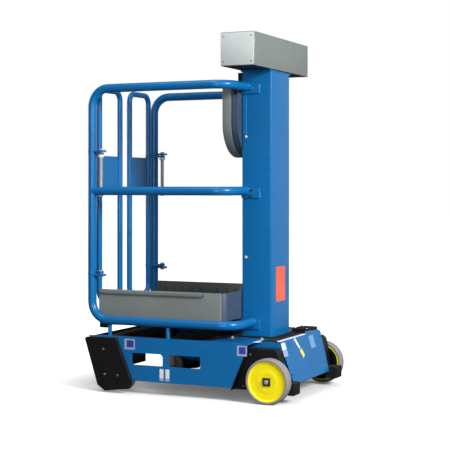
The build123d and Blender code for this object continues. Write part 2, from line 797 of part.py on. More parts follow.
def hinge_pins(side):
    # a long pin from the upper bracket through the middle rail, and a short one at the lower bracket
    y = side * rail_y
    nut = Pos(hinge_x, y) * RegularPolygon(pin_r * 1.6, 6, major_radius=False)
    nut_h = pin_r
    rail_bottom = rail_mid_z - rail_d / 2
    upper = rod_z(pin_r, hinge_x, y, (rail_bottom - nut_h, upper_bracket_z + nut_h))
    upper += slab_xy(nut, (upper_bracket_z + weld_gap, upper_bracket_z + nut_h + weld_gap))
    upper += slab_xy(nut, (rail_bottom - nut_h, rail_bottom - weld_gap))
    low = lower_bracket_z - nut_h - weld_gap
    high = lower_arm_z + arm_t + bearing_gap
    lower = rod_z(pin_r, hinge_x, y, (low, high + nut_h))
    lower += slab_xy(nut, (low, low + nut_h))
    lower += slab_xy(nut, (high, high + nut_h))
    return [upper, lower]


def hinge_spring(side):
    # a closed coil, drawn as a ridged sleeve
    low = rail_mid_z + rail_d / 2 + bearing_gap
    height = upper_arm_z - bearing_gap - low
    inner = spring_r - spring_wire
    radii = (spring_r - spring_wire / 2, spring_r)
    half_turn = height / spring_turns / 2
    section = [(radii[i % 2], i * half_turn) for i in range(2 * spring_turns + 1)]
    face = Plane.XZ * outline_face([(inner, 0), *section, (inner, height)])
    return Pos(hinge_x, side * rail_y, low) * revolve(face, Axis.Z)


# Winding gear
def housing_face(shrink):
    radius = housing_r - shrink
    top = housing_top_z - shrink
    height = top - housing_z
    return Pos(0, housing_z) * Circle(radius) + Pos(0, housing_z + height / 2) * Rectangle(2 * radius, height)


def winding_housing():
    shell = slab_yz(housing_face(0), housing_x)
    front = shell.faces().sort_by(Axis.X)[0]
    shell = chamfer(front.edges(), housing_wall)
    shell -= slab_yz(housing_face(housing_wall), (housing_x[0] + housing_wall, housing_x[1] + 1))
    return shell - rod_x(crank_hub_r / 2 + bearing_gap, (housing_x[0] - 1, housing_x[1]), 0, housing_z)


def housing_back():
    # the back shell on the column, with a spigot that enters the housing across the seam
    wall = housing_wall
    shell = slab_yz(housing_face(0), back_shell_x)
    shell -= slab_yz(housing_face(wall + spigot_t / 2), (back_shell_x[0] - 1, back_shell_x[1] - wall))
    outer = wall + bearing_gap
    spigot_x = (housing_x[1] - spigot_lap, back_shell_x[0] + wall)
    spigot = slab_yz(housing_face(outer), spigot_x)
    spigot -= slab_yz(housing_face(outer + spigot_t), (spigot_x[0] - 1, spigot_x[1] + 1))
    return shell + spigot


def winding_crank():
    hub_x = (housing_x[0] - weld_gap - crank_hub_l, housing_x[0] - weld_gap)
    crank = rod_x(crank_hub_r, hub_x, 0, housing_z)
    crank += rod_x(crank_hub_r / 2, (hub_x[1], housing_x[1] - housing_wall), 0, housing_z)
    arm = Pos(crank_radius / 2, housing_z) * SlotCenterToCenter(crank_radius, crank_arm_w)
    return crank + slab_yz(arm, (hub_x[0], hub_x[0] + crank_arm_t))


def crank_grip():
    front = housing_x[0] - weld_gap - crank_hub_l
    grip = rod_x(grip_r, (front - weld_gap - grip_l, front - weld_gap), crank_radius, housing_z)
    return chamfer(grip.edges().filter_by(GeomType.CIRCLE), grip_r / 4)


# Tool tray
def tray_bracket():
    z = (column_top_z + weld_gap, tray_bottom_z - weld_gap)
    return block(pair(column_x, column_depth), pair(0, column_width + 2 * tray_plate_over), z)


def tool_tray():
    z = (tray_bottom_z, overall_height)
    tray = block(tray_x, (-tray_y, tray_y), z)
    inner_x = (tray_x[0] + tray_sheet, tray_x[1] - tray_sheet)
    inner_y = tray_y - tray_sheet
    tray -= block(inner_x, (-inner_y, inner_y), (z[0] + tray_sheet, z[1] + 1))
    hem_x = (tray_x[0] + tray_hem, tray_x[1] - tray_hem)
    hem_y = tray_y - tray_hem
    hem_z = (z[1] - tray_sheet, z[1])
    hem = block(tray_x, (-tray_y, tray_y), hem_z) - block(hem_x, (-hem_y, hem_y), (hem_z[0] - 1, z[1] + 1))
    return tray + hem


# Names of the pieces
sides = (("right", -1), ("left", 1))
pieces = {
    "cross_tubes": cross_tubes(),
    "mast_frame": mast_frame(),
    "top_deck": top_deck(),
    "end_panel": end_panel(),
    "entry_panel": entry_panel(),
    "equipment_cover": equipment_cover(),
    "platform_stubs": platform_stubs(),
    "base_mast": base_mast(),
    "base_mast_pads": pad_ring(base_depth, base_width, base_top_z),
    "middle_mast": middle_mast(),
    "middle_mast_pads": pad_ring(middle_depth, middle_width, middle_top_z),
    "column": column(),
    "kickboard": kickboard(),
    "deck": deck(),
    "underframe": underframe(),
    "landing_buffers": landing_buffers(),
    "winding_housing": winding_housing(),
    "housing_back": housing_back(),
    "winding_crank": winding_crank(),
    "crank_grip": crank_grip(),
    "tray_bracket": tray_bracket(),
    "tool_tray": tool_tray(),
}
paired = (
    ("side_plate", side_plate), ("wheel_guard", wheel_guard), ("rubber_block", rubber_block),
    ("bumper", bumper), ("axle_stub", axle_stub), ("castor_mount", castor_mount),
    ("wheel_tyre", wheel_tyre), ("wheel_hub", wheel_hub), ("castor_fork", castor_fork),
    ("castor_tyre", castor_tyre), ("castor_hub", castor_hub), ("guard_rail", guard_rail),
    ("middle_rail", middle_rail), ("gate_frame", gate_frame), ("gate_plate", gate_plate),
    ("hinge_brackets", hinge_brackets), ("hinge_pins", hinge_pins), ("hinge_spring", hinge_spring))
for name, maker in paired:
    for word, side in sides:
        pieces[name + "_" + word] = maker(side)

os.makedirs("parts", exist_ok=True)
for name, shape in pieces.items():
    if isinstance(shape, list):
        shape = Compound(children=shape)
    export_step(shape, os.path.join("parts", name + ".step"))
print(len(pieces), "pieces")
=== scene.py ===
import bpy
import bmesh
import json
import math
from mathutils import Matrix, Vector

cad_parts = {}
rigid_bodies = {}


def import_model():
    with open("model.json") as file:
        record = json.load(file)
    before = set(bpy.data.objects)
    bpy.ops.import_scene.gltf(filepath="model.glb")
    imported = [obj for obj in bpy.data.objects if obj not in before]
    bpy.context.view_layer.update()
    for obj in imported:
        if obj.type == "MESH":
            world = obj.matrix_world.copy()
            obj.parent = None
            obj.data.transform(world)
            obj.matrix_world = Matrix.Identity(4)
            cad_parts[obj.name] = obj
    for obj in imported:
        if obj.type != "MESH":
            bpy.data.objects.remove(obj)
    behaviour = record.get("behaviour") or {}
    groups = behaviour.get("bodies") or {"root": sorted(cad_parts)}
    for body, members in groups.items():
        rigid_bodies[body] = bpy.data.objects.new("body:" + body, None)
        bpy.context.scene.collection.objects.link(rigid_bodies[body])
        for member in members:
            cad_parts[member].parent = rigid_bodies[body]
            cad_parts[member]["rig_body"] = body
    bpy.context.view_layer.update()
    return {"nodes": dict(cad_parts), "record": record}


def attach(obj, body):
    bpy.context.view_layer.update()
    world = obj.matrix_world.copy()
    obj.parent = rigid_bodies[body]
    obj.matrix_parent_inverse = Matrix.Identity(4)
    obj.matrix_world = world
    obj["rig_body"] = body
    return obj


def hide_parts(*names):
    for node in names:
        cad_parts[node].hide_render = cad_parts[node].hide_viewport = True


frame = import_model()
nodes = frame["nodes"]
sides = (("right", -1), ("left", 1))  # right is -Y, the side towards the camera
print("frame loaded with", len(nodes), "nodes")


# Steps for node trees, where an input takes a plain value or a link from another node
def feed(tree, node, inputs):
    for key, value in inputs.items():
        if isinstance(value, bpy.types.NodeSocket):
            tree.links.new(value, node.inputs[key])
        else:
            node.inputs[key].default_value = value


def addNode(tree, kind, inputs=None, **settings):
    node = tree.nodes.new(kind)
    for label, value in settings.items():
        setattr(node, label, value)
    feed(tree, node, inputs or {})
    return node


def newGroup(name, treeType, inputs, outputs):
    # inputs are a label, a kind of socket and a value, where the socket has one
    group = bpy.data.node_groups.new(name, treeType)
    for direction, sockets in (("INPUT", inputs), ("OUTPUT", outputs)):
        for label, kind, *value in sockets:
            socket = group.interface.new_socket(
                name=label, in_out=direction, socket_type="NodeSocket" + kind)
            if value:
                socket.default_value = value[0]
    return group, group.nodes.new("NodeGroupInput").outputs, group.nodes.new("NodeGroupOutput")


def addMath(tree, operation, a, b, clamp=False):
    return addNode(tree, "ShaderNodeMath", {0: a, 1: b}, operation=operation, use_clamp=clamp).outputs[0]


def addRange(tree, value, low, high, outLow=0.0, outHigh=1.0):
    return addNode(tree, "ShaderNodeMapRange", {
        "Value": value, "From Min": low, "From Max": high, "To Min": outLow,
        "To Max": outHigh}).outputs["Result"]


def addNoise(tree, scale, detail, rough=0.5, stretch=None):
    vector = addNode(tree, "ShaderNodeTexCoord").outputs["Object"]
    if stretch is not None:
        vector = addNode(tree, "ShaderNodeMapping", {"Vector": vector, "Scale": stretch}).outputs["Vector"]
    return addNode(tree, "ShaderNodeTexNoise", {
        "Vector": vector, "Scale": scale, "Detail": detail, "Roughness": rough}).outputs["Fac"]


def mixColour(tree, mask, under, over):
    node = addNode(tree, "ShaderNodeMix", {"Factor": mask}, data_type="RGBA")
    colourKeys = [key for key, socket in enumerate(node.inputs) if socket.type == "RGBA"]
    for key, value in zip(colourKeys, (under, over)):
        feed(tree, node, {key: (*value, 1) if isinstance(value, tuple) else value})
    return next(socket for socket in node.outputs if socket.type == "RGBA")


def newMaterial(name):
    mat = bpy.data.materials.new(name)
    mat.use_nodes = True
    return mat, mat.node_tree, mat.node_tree.nodes["Principled BSDF"]


# Camera, light and floor
shot = {
    "place": (2.3508, -4.9797, 0.8955), "level": 90, "turn": 24.872, "lens": 97.78, "sensor": 36.0,
    "drop": -0.083}
studio = {
    "sky": 0.30, "gloss": 0.10, "seen": 1.0, "floorSize": 60.0, "floorColour": (0.86, 0.86, 0.86),
    "floorBounce": (0.15, 0.15, 0.15), "floorReach": (0.62, 0.48), "floorFade": (0.9, 1.5),
    "floorLift": (0.10, 0.80)}
lamps = {  # place, width, height, power, aim
    "keyLamp": ((4.9, -2.15, 3.1), 1.6, 1.6, 410.0, (0.0, 0.0, 0.7)),
    "frontLamp": ((1.1, -4.8, 1.3), 1.6, 1.6, 54.0, (0.0, 0.0, 0.6)),
    "backLamp": ((1.6, 2.4, 1.2), 2.6, 2.4, 6.0, (0.3, 0.0, 0.8)),
    "entryLamp": ((-4.4, 0.9, 1.8), 2.4, 2.4, 55.0, (0.0, 0.0, 0.7)),
    "topLamp": ((-0.6, -1.2, 4.8), 2.4, 2.4, 60.0, (0.0, 0.0, 0.6))}


def newObject(name, data):
    obj = bpy.data.objects.new(name, data)
    bpy.context.scene.collection.objects.link(obj)
    return obj


def areaLamp(name, spot, width, height, power, aim):
    data = bpy.data.lights.new(name, "AREA")
    data.shape = "RECTANGLE"
    data.size = width
    data.size_y = height
    data.energy = power
    lamp = newObject(name, data)
    lamp.location = spot
    lamp.visible_camera = False
    lamp.rotation_euler = (Vector(aim) - lamp.location).to_track_quat("-Z", "Y").to_euler()


def makeWorld():
    # white to the camera, softly lit to the rest, and dim in reflections so that the paint stays deep
    world = bpy.data.worlds.new("studioWorld")
    world.use_nodes = True
    tree = world.node_tree
    tree.nodes.clear()
    path = addNode(tree, "ShaderNodeLightPath").outputs
    sky, gloss, seen = [
        addNode(tree, "ShaderNodeBackground", {"Color": (1, 1, 1, 1), "Strength": studio[key]}).outputs[0]
        for key in ("sky", "gloss", "seen")]
    lit = addNode(tree, "ShaderNodeMixShader", {0: path["Is Glossy Ray"], 1: sky, 2: gloss}).outputs[0]
    whole = addNode(tree, "ShaderNodeMixShader", {0: path["Is Camera Ray"], 1: lit, 2: seen}).outputs[0]
    addNode(tree, "ShaderNodeOutputWorld", {"Surface": whole})
    bpy.context.scene.world = world


def makeFloor():
    # for the camera it is lifted, little under the machine and to white further out, and clear from below
    bpy.ops.mesh.primitive_plane_add(size=studio["floorSize"], location=(0, 0, 0))
    floor = bpy.context.object
    floor.name = "studioFloor"
    mat, tree, shader = newMaterial("paleFloor")
    seen = addNode(tree, "ShaderNodeLightPath").outputs["Is Camera Ray"]
    reachX, reachY = studio["floorReach"]
    scaled = addNode(tree, "ShaderNodeMapping", {
        "Vector": addNode(tree, "ShaderNodeTexCoord").outputs["Object"],
        "Scale": (1 / reachX, 1 / reachY, 1)}).outputs["Vector"]
    away = addNode(tree, "ShaderNodeVectorMath", {0: scaled}, operation="LENGTH").outputs["Value"]
    raised = addRange(tree, away, *studio["floorFade"], *studio["floorLift"])
    below = addNode(tree, "ShaderNodeNewGeometry").outputs["Backfacing"]
    feed(tree, shader, {
        "Base Color": mixColour(tree, seen, studio["floorBounce"], studio["floorColour"]),
        "Emission Color": (1, 1, 1, 1), "Emission Strength": addMath(tree, "MULTIPLY", raised, seen),
        "Roughness": 1.0, "Specular IOR Level": 0.0, "Alpha": addMath(tree, "SUBTRACT", 1.0, below)})
    floor.data.materials.append(mat)


camData = bpy.data.cameras.new("shotCamera")
camData.lens = shot["lens"]
camData.sensor_width = shot["sensor"]
camData.shift_y = shot["drop"]
cam = newObject("shotCamera", camData)
cam.location = shot["place"]
cam.rotation_euler = (math.radians(shot["level"]), 0, math.radians(shot["turn"]))
bpy.context.scene.camera = cam
bpy.context.scene.view_settings.view_transform = "Standard"
for name, spec in lamps.items():
    areaLamp(name, *spec)
makeWorld()
makeFloor()
print("camera, light and floor are in place")


# Shader groups that the finishes share
shading = {  # what a mask grows over, from none to full, and the values that all finishes have
    "edge": (0.985, 0.90), "edgePatch": (0.50, 0.70), "faceUp": (0.3, 1.0), "upDust": (0.05, 1.0),
    "nearFloor": (0.16, 0.0), "cloud": (0.35, 0.75), "line": (0.66, 0.72), "linePatch": (0.50, 0.66),
    "tone": (0.35, 0.65), "toneScale": 5.0, "bevelSamples": 4, "dustRough": 0.35, "coatRough": 0.10,
    "bumpDistance": 0.001}


def makeEdgeRub():
    # where two faces meet, broken up by noise
    group, given, out = newGroup(
        "edgeRub", "ShaderNodeTree",
        [("Radius", "Float", 0.002), ("Amount", "Float", 0.5), ("Scale", "Float", 60.0)],
        [("Mask", "Float"), ("Normal", "Vector")])
    rounded = addNode(
        group, "ShaderNodeBevel", {"Radius": given["Radius"]},
        samples=shading["bevelSamples"]).outputs["Normal"]
    flat = addNode(group, "ShaderNodeNewGeometry").outputs["True Normal"]
    dot = addNode(group, "ShaderNodeVectorMath", {0: rounded, 1: flat}, operation="DOT_PRODUCT")
    edge = addRange(group, dot.outputs["Value"], *shading["edge"])
    patchy = addRange(group, addNoise(group, given["Scale"], 5.0, 0.6), *shading["edgePatch"])
    both = addMath(group, "MULTIPLY", edge, patchy)
    feed(group, out, {"Mask": addMath(group, "MULTIPLY", both, given["Amount"], True), "Normal": rounded})
    return group


def makeDustLay():
    # thin dust on faces that look up, and low down on the machine
    group, given, out = newGroup(
        "dustLay", "ShaderNodeTree",
        [("Amount", "Float", 0.3), ("Scale", "Float", 9.0), ("Low", "Float", 0.25)],
        [("Mask", "Float")])
    normal = addNode(group, "ShaderNodeNewGeometry").outputs["Normal"]
    facing = addNode(group, "ShaderNodeSeparateXYZ", {0: normal}).outputs["Z"]
    upward = addRange(group, facing, *shading["faceUp"], *shading["upDust"])
    spot = addNode(group, "ShaderNodeTexCoord").outputs["Object"]
    height = addNode(group, "ShaderNodeSeparateXYZ", {0: spot}).outputs["Z"]
    low = addMath(group, "MULTIPLY", addRange(group, height, *shading["nearFloor"]), given["Low"])
    cloud = addRange(group, addNoise(group, given["Scale"], 6.0, 0.65), *shading["cloud"])
    both = addMath(group, "MULTIPLY", addMath(group, "MAXIMUM", upward, low), cloud)
    feed(group, out, {"Mask": addMath(group, "MULTIPLY", both, given["Amount"], True)})
    return group


def makeFineGrain():
    # a bump height from two sizes of grain, and a broad tone that varies slowly
    group, given, out = newGroup(
        "fineGrain", "ShaderNodeTree",
        [("Coarse", "Float", 90.0), ("Fine", "Float", 700.0),
         ("Balance", "Float", 0.5), ("Stretch", "Vector", (1.0, 1.0, 1.0))],
        [("Height", "Float"), ("Tone", "Float")])
    coarse = addNoise(group, given["Coarse"], 3.0, stretch=given["Stretch"])
    fine = addNoise(group, given["Fine"], 2.0, stretch=given["Stretch"])
    rest = addMath(group, "SUBTRACT", 1.0, given["Balance"])
    height = addMath(
        group, "ADD", addMath(group, "MULTIPLY", coarse, given["Balance"]),
        addMath(group, "MULTIPLY", fine, rest))
    feed(group, out, {"Height": height, "Tone": addNoise(group, shading["toneScale"], 3.0, 0.6)})
    return group


def makeFineScratch():
    # sparse thin lines in one direction, as handling leaves them
    group, given, out = newGroup(
        "fineScratch", "ShaderNodeTree",
        [("Density", "Float", 0.5), ("Stretch", "Vector", (4.0, 60.0, 240.0))],
        [("Mask", "Float")])
    thin = addRange(group, addNoise(group, 3.0, 2.0, 0.4, given["Stretch"]), *shading["line"])
    patch = addRange(group, addNoise(group, 6.0, 3.0), *shading["linePatch"])
    both = addMath(group, "MULTIPLY", thin, patch)
    feed(group, out, {"Mask": addMath(group, "MULTIPLY", both, given["Density"], True)})
    return group


edgeRub = makeEdgeRub()
dustLay = makeDustLay()
fineGrain = makeFineGrain()
fineScratch = makeFineScratch()
print("shader groups made")


# Finishes, one dictionary each, all made by the same steps
def makeFinish(name, values):
    mat, tree, shader = newMaterial(name)
    grain = addNode(tree, "ShaderNodeGroup", {
        "Coarse": values["coarse"], "Fine": values["fine"], "Balance": values["balance"],
        "Stretch": values["stretch"]}, node_tree=fineGrain).outputs
    rub = addNode(tree, "ShaderNodeGroup", {
        "Radius": values["edge"], "Amount": values["wear"], "Scale": values["wearScale"]},
        node_tree=edgeRub).outputs
    scratch = addNode(tree, "ShaderNodeGroup", {"Density": values["scratch"]}, node_tree=fineScratch).outputs
    dust = addNode(tree, "ShaderNodeGroup", {
        "Amount": values["dust"], "Scale": values["dustScale"], "Low": values["dustLow"]},
        node_tree=dustLay).outputs
    colour = mixColour(
        tree, addRange(tree, grain["Tone"], *shading["tone"]), values["colour"], values["shade"])
    for mask, over in ((rub["Mask"], "bare"), (scratch["Mask"], "bare"), (dust["Mask"], "dustColour")):
        colour = mixColour(tree, mask, colour, values[over])
    rough = addRange(
        tree, grain["Tone"], *shading["tone"], values["rough"], values["rough"] + values["roughSpread"])
    dusty = addMath(tree, "MULTIPLY", dust["Mask"], shading["dustRough"])
    bump = addNode(tree, "ShaderNodeBump", {
        "Strength": values["bump"], "Distance": shading["bumpDistance"], "Height": grain["Height"],
        "Normal": rub["Normal"]})
    feed(tree, shader, {
        "Base Color": colour, "Roughness": addMath(tree, "ADD", rough, dusty, True),
        "Metallic": values["metal"], "Specular IOR Level": values["spec"], "Coat Weight": values["coat"],
        "Coat Roughness": shading["coatRough"], "Normal": bump.outputs["Normal"]})
    return mat


plainLook = {
    "roughSpread": 0.1, "metal": 0.0, "spec": 0.35, "coat": 0.0, "coarse": 90.0, "fine": 700.0,
    "balance": 0.5, "stretch": (1.0, 1.0, 1.0), "bump": 0.15, "edge": 0.0012, "wear": 0.30,
    "wearScale": 70.0, "scratch": 0.0, "dust": 0.08, "dustScale": 9.0, "dustLow": 0.25,
    "dustColour": (0.45, 0.43, 0.40)}


def look(colour, shade, bare, rough, **changes):
    return {**plainLook, "colour": colour, "shade": shade, "bare": bare, "rough": rough, **changes}


finishes = {
    "bluePaint": look(
        (0.0005, 0.138, 0.385), (0.0005, 0.128, 0.360), (0.08, 0.22, 0.42), 0.24, spec=0.34, coat=0.15,
        bump=0.06, coarse=160.0, fine=900.0, wear=0.30, scratch=0.12, dust=0.04),
    "blackPaint": look(
        (0.010, 0.012, 0.018), (0.007, 0.009, 0.013), (0.06, 0.06, 0.07), 0.42, spec=0.25, bump=0.08,
        coarse=160.0, dust=0.16),
    "greyMoulding": look(
        (0.176, 0.200, 0.196), (0.152, 0.175, 0.172), (0.26, 0.28, 0.28), 0.46, bump=0.22, coarse=420.0,
        fine=1500.0, wear=0.25, dust=0.10),
    # a darker copy of the grey moulding, a painted shade on the kickboard's inner faces
    "innerMoulding": look(
        (0.080, 0.094, 0.084), (0.056, 0.068, 0.061), (0.12, 0.13, 0.12), 0.50, bump=0.22, coarse=420.0,
        fine=1500.0, wear=0.25, dust=0.16),
    # a dark blue-grey moulding, which on the kickboard's faces towards +X is a painted shade
    "slateMoulding": look(
        (0.046, 0.074, 0.122), (0.038, 0.062, 0.104), (0.14, 0.15, 0.17), 0.45, bump=0.22, coarse=420.0,
        fine=1500.0),
    "silverSheet": look(
        (0.205, 0.240, 0.228), (0.190, 0.224, 0.212), (0.48, 0.50, 0.49), 0.36, metal=0.15, spec=0.40,
        bump=0.05, coarse=60.0, fine=800.0, stretch=(1.0, 1.0, 12.0), scratch=0.25),
    # a lighter copy of the silver sheet, a painted sheen on the tray's ends
    "brightSheet": look(
        (0.630, 0.680, 0.680), (0.550, 0.600, 0.600), (0.66, 0.68, 0.68), 0.30, metal=0.10, spec=0.50,
        bump=0.05, coarse=60.0, fine=800.0, stretch=(1.0, 1.0, 12.0), scratch=0.25),
    "blackPlastic": look(
        (0.0060, 0.0060, 0.0065), (0.0042, 0.0042, 0.0048), (0.035, 0.035, 0.035), 0.40, spec=0.25,
        bump=0.25, coarse=500.0, fine=1600.0, dust=0.05),
    "blackRubber": look(
        (0.0085, 0.0085, 0.0090), (0.0060, 0.0060, 0.0065), (0.04, 0.04, 0.04), 0.68, spec=0.20,
        bump=0.40, coarse=260.0, fine=1300.0, dust=0.10),
    "yellowPaint": look(
        (1.000, 0.860, 0.004), (0.960, 0.800, 0.004), (0.75, 0.62, 0.20), 0.36, spec=0.30, bump=0.08,
        coarse=140.0, wear=0.20, scratch=0.25, dust=0.05),
    "greyTyre": look(
        (0.290, 0.268, 0.280), (0.250, 0.228, 0.240), (0.50, 0.48, 0.49), 0.72, spec=0.20, bump=0.25,
        coarse=200.0, dust=0.25, dustLow=0.6, dustColour=(0.26, 0.24, 0.23)),
    "zincSteel": look(
        (0.560, 0.555, 0.535), (0.470, 0.465, 0.450), (0.70, 0.70, 0.68), 0.30, roughSpread=0.2,
        metal=0.55, spec=0.5, bump=0.08, coarse=260.0, dust=0.04),
    "darkSteel": look(
        (0.060, 0.058, 0.056), (0.040, 0.039, 0.038), (0.25, 0.25, 0.24), 0.38, metal=0.4, spec=0.4,
        bump=0.10, coarse=260.0, dust=0.06),
    "darkZinc": look(
        (0.190, 0.185, 0.165), (0.140, 0.138, 0.125), (0.35, 0.35, 0.33), 0.38, metal=0.5, spec=0.4,
        bump=0.10, coarse=260.0, dust=0.06),
    "springSteel": look(
        (0.620, 0.520, 0.440), (0.520, 0.430, 0.370), (0.70, 0.66, 0.60), 0.28, metal=0.4, spec=0.5,
        bump=0.05, dust=0.03),
    "drawnAluminium": look(
        (0.600, 0.605, 0.610), (0.540, 0.545, 0.550), (0.75, 0.75, 0.75), 0.34, metal=0.7, spec=0.5,
        bump=0.06, stretch=(1.0, 1.0, 0.05), coarse=300.0, wear=0.2, dust=0.03),
    "creamNylon": look(
        (0.740, 0.700, 0.600), (0.680, 0.640, 0.540), (0.4, 0.4, 0.4), 0.50, bump=0.10, wear=0.1),
    "deckMoulding": look(
        (0.040, 0.046, 0.046), (0.030, 0.035, 0.036), (0.13, 0.13, 0.13), 0.62, bump=0.50, coarse=380.0,
        fine=1300.0, dust=0.25),
    "gripPlastic": look(
        (0.010, 0.010, 0.011), (0.008, 0.008, 0.008), (0.05, 0.05, 0.05), 0.28, bump=0.08, dust=0.04)}
labelColours = {  # colour and shade
    "labelWhite": ((0.78, 0.79, 0.84), (0.72, 0.73, 0.80)),
    "labelLilac": ((0.36, 0.42, 0.66), (0.30, 0.36, 0.60)),
    "labelBlue": ((0.03, 0.07, 0.30), (0.02, 0.05, 0.24)),
    "labelPale": ((0.20, 0.38, 0.66), (0.16, 0.33, 0.60)),
    "labelYellow": ((0.86, 0.74, 0.10), (0.80, 0.66, 0.08)),
    "labelRed": ((0.83, 0.16, 0.09), (0.78, 0.12, 0.08))}
for name, (colour, shade) in labelColours.items():
    finishes[name] = look(colour, shade, shade, 0.35, bump=0.02, wear=0.0)
finish = {name: makeFinish(name, values) for name, values in finishes.items()}
finishesOfSlot = {  # the first is the one that a node of the slot gets
    "blue_paint": ("bluePaint", "labelBlue", "labelPale"), "grey_moulding": ("greyMoulding", "innerMoulding"),
    "silver_sheet": ("silverSheet", "brightSheet", "labelWhite", "labelLilac"),
    "zinc_steel": ("zincSteel", "darkZinc", "darkSteel", "springSteel"),
    "yellow_paint": ("yellowPaint", "labelYellow", "labelRed"), "black_plastic": ("blackPlastic",),
    "black_rubber": ("blackRubber",), "black_paint": ("blackPaint",), "grey_tyre": ("greyTyre",),
    "mast_section": ("drawnAluminium",), "nylon": ("creamNylon",), "deck_surface": ("deckMoulding",),
    "grip": ("gripPlastic",), "slate_moulding": ("slateMoulding",)}
ownFinish = {
    part["node"]: finishesOfSlot[part["material_slot"]][0] for part in frame["record"]["subparts"]}
for name, obj in nodes.items():
    obj.data.materials.clear()
    obj.data.materials.append(finish[ownFinish[name]])
print("finishes made:", len(finish))


# Shapes that the pieces are made from
smoothBelow = math.radians(38)
flatWithin = math.radians(1)
mergeWithin = 1e-6
rounding = {"segments": 2, "above": math.radians(40), "flatWeight": 100}
mostOfEdge = 0.45  # of an edge's length, that the arc at one of its ends may take


def bodyOf(nodeName):
    return nodes[nodeName]["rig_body"]


def pieceName(nodeName):
    first, *rest = nodeName.split("_")
    return first + "".join(word.capitalize() for word in rest)


def place(obj, nodeName, *finishNames):
    # materials, smooth shading, and the body of the node that the piece belongs to
    finishNames = finishNames or (ownFinish[nodeName],)
    obj.data.materials.clear()
    for finishName in finishNames:
        obj.data.materials.append(finish[finishName])
    if not obj.data.has_custom_normals:
        obj.data.shade_smooth()
        obj.data.set_sharp_from_angle(angle=smoothBelow)
    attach(obj, bodyOf(nodeName))


def meshObject(name, verts, faces):
    mesh = bpy.data.meshes.new(name)
    mesh.from_pydata([tuple(v) for v in verts], [], faces)
    work = bmesh.new()
    work.from_mesh(mesh)
    bmesh.ops.remove_doubles(work, verts=work.verts, dist=mergeWithin)
    bmesh.ops.recalc_face_normals(work, faces=work.faces)
    work.to_mesh(mesh)
    work.free()
    return newObject(name, mesh)


def bakeModifiers(obj):
    graph = bpy.context.evaluated_depsgraph_get()
    mesh = bpy.data.meshes.new_from_object(obj.evaluated_get(graph))
    obj.modifiers.clear()
    obj.data = mesh


def roundEdges(obj, width):
    # normals weighted by area keep the flat faces flat beside their rounded edges
    obj.data.shade_smooth()
    bevel = obj.modifiers.new("edges", "BEVEL")
    bevel.width = width
    bevel.segments = rounding["segments"]
    bevel.limit_method = "ANGLE"
    bevel.angle_limit = rounding["above"]
    weighted = obj.modifiers.new("flats", "WEIGHTED_NORMAL")
    weighted.weight = rounding["flatWeight"]
    weighted.keep_sharp = True
    bakeModifiers(obj)


def mergedCopy(nodeName):
    # a CAD node's loose triangles joined into whole faces
    source = nodes[nodeName]
    work = bmesh.new()
    corners = [work.verts.new(source.matrix_world @ v.co) for v in source.data.vertices]
    for face in source.data.polygons:
        work.faces.new([corners[i] for i in face.vertices])
    bmesh.ops.remove_doubles(work, verts=work.verts, dist=10 * mergeWithin)
    bmesh.ops.dissolve_limit(work, angle_limit=flatWithin, verts=work.verts, edges=work.edges)
    mesh = bpy.data.meshes.new(pieceName(nodeName))
    work.to_mesh(mesh)
    work.free()
    return newObject(pieceName(nodeName), mesh)


def loft(name, rings, closedPath=False):
    # quads between rings of points, each ring closed on itself, and flat ends on an open path
    size = len(rings[0])
    verts = [p for ring in rings for p in ring]
    faces = []
    for i in range(len(rings) if closedPath else len(rings) - 1):
        a = i * size
        b = (i + 1) % len(rings) * size
        faces += [(a + j, a + (j + 1) % size, b + (j + 1) % size, b + j) for j in range(size)]
    if not closedPath:
        faces.append(tuple(reversed(range(size))))
        faces.append(tuple(range(len(verts) - size, len(verts))))
    return meshObject(name, verts, faces)


def fullTurn(steps):
    return [2 * math.pi * i / steps for i in range(steps)]


def circlePath(centre, axis, radius, steps):
    turn = Vector(axis).to_track_quat("Z", "Y").to_matrix()
    return [
        Vector(centre) + turn @ Vector((radius * math.cos(t), radius * math.sin(t), 0))
        for t in fullTurn(steps)]


def turned(name, profile, centre, axis, steps):
    # profile points are radius and height along the axis
    rings = [
        circlePath(Vector(centre) + Vector(axis) * height, axis, radius, steps) for radius, height in profile]
    return loft(name, rings, closedPath=True)


def tubeRings(points, radii, steps, closed=False):
    # rings square to a path, carried along it without twist
    count = len(points)
    tangents = []
    for i in range(count):
        before = points[i - 1] if closed or i else points[i]
        after = points[(i + 1) % count] if closed or i < count - 1 else points[i]
        tangents.append((after - before).normalized())
    across = tangents[0].orthogonal().normalized()
    rings = []
    for point, tangent, radius in zip(points, tangents, radii):
        across = (across - tangent * across.dot(tangent)).normalized()
        other = tangent.cross(across)
        rings.append([
            point + radius * (across * math.cos(t) + other * math.sin(t)) for t in fullTurn(steps)])
    return rings


def prism(name, outline, centre, axisU, axisV, depth):
    # an outline in the plane of U and V, given a depth along their normal
    u = Vector(axisU)
    v = Vector(axisV)
    base = [Vector(centre) + u * a + v * b for a, b in outline]
    return loft(name, [base, [p + u.cross(v) * depth for p in base]])


def rectangle(low, high):
    return [(low[0], low[1]), (high[0], low[1]), (high[0], high[1]), (low[0], high[1])]


def roundedOutline(width, height, radius, steps=6):
    points = []
    corners = (
        (width / 2 - radius, height / 2 - radius, 0), (radius - width / 2, height / 2 - radius, 90),
        (radius - width / 2, radius - height / 2, 180), (width / 2 - radius, radius - height / 2, 270))
    for x, y, start in corners:
        for i in range(steps + 1):
            t = math.radians(start + 90 * i / steps)
            points.append((x + radius * math.cos(t), y + radius * math.sin(t)))
    return points


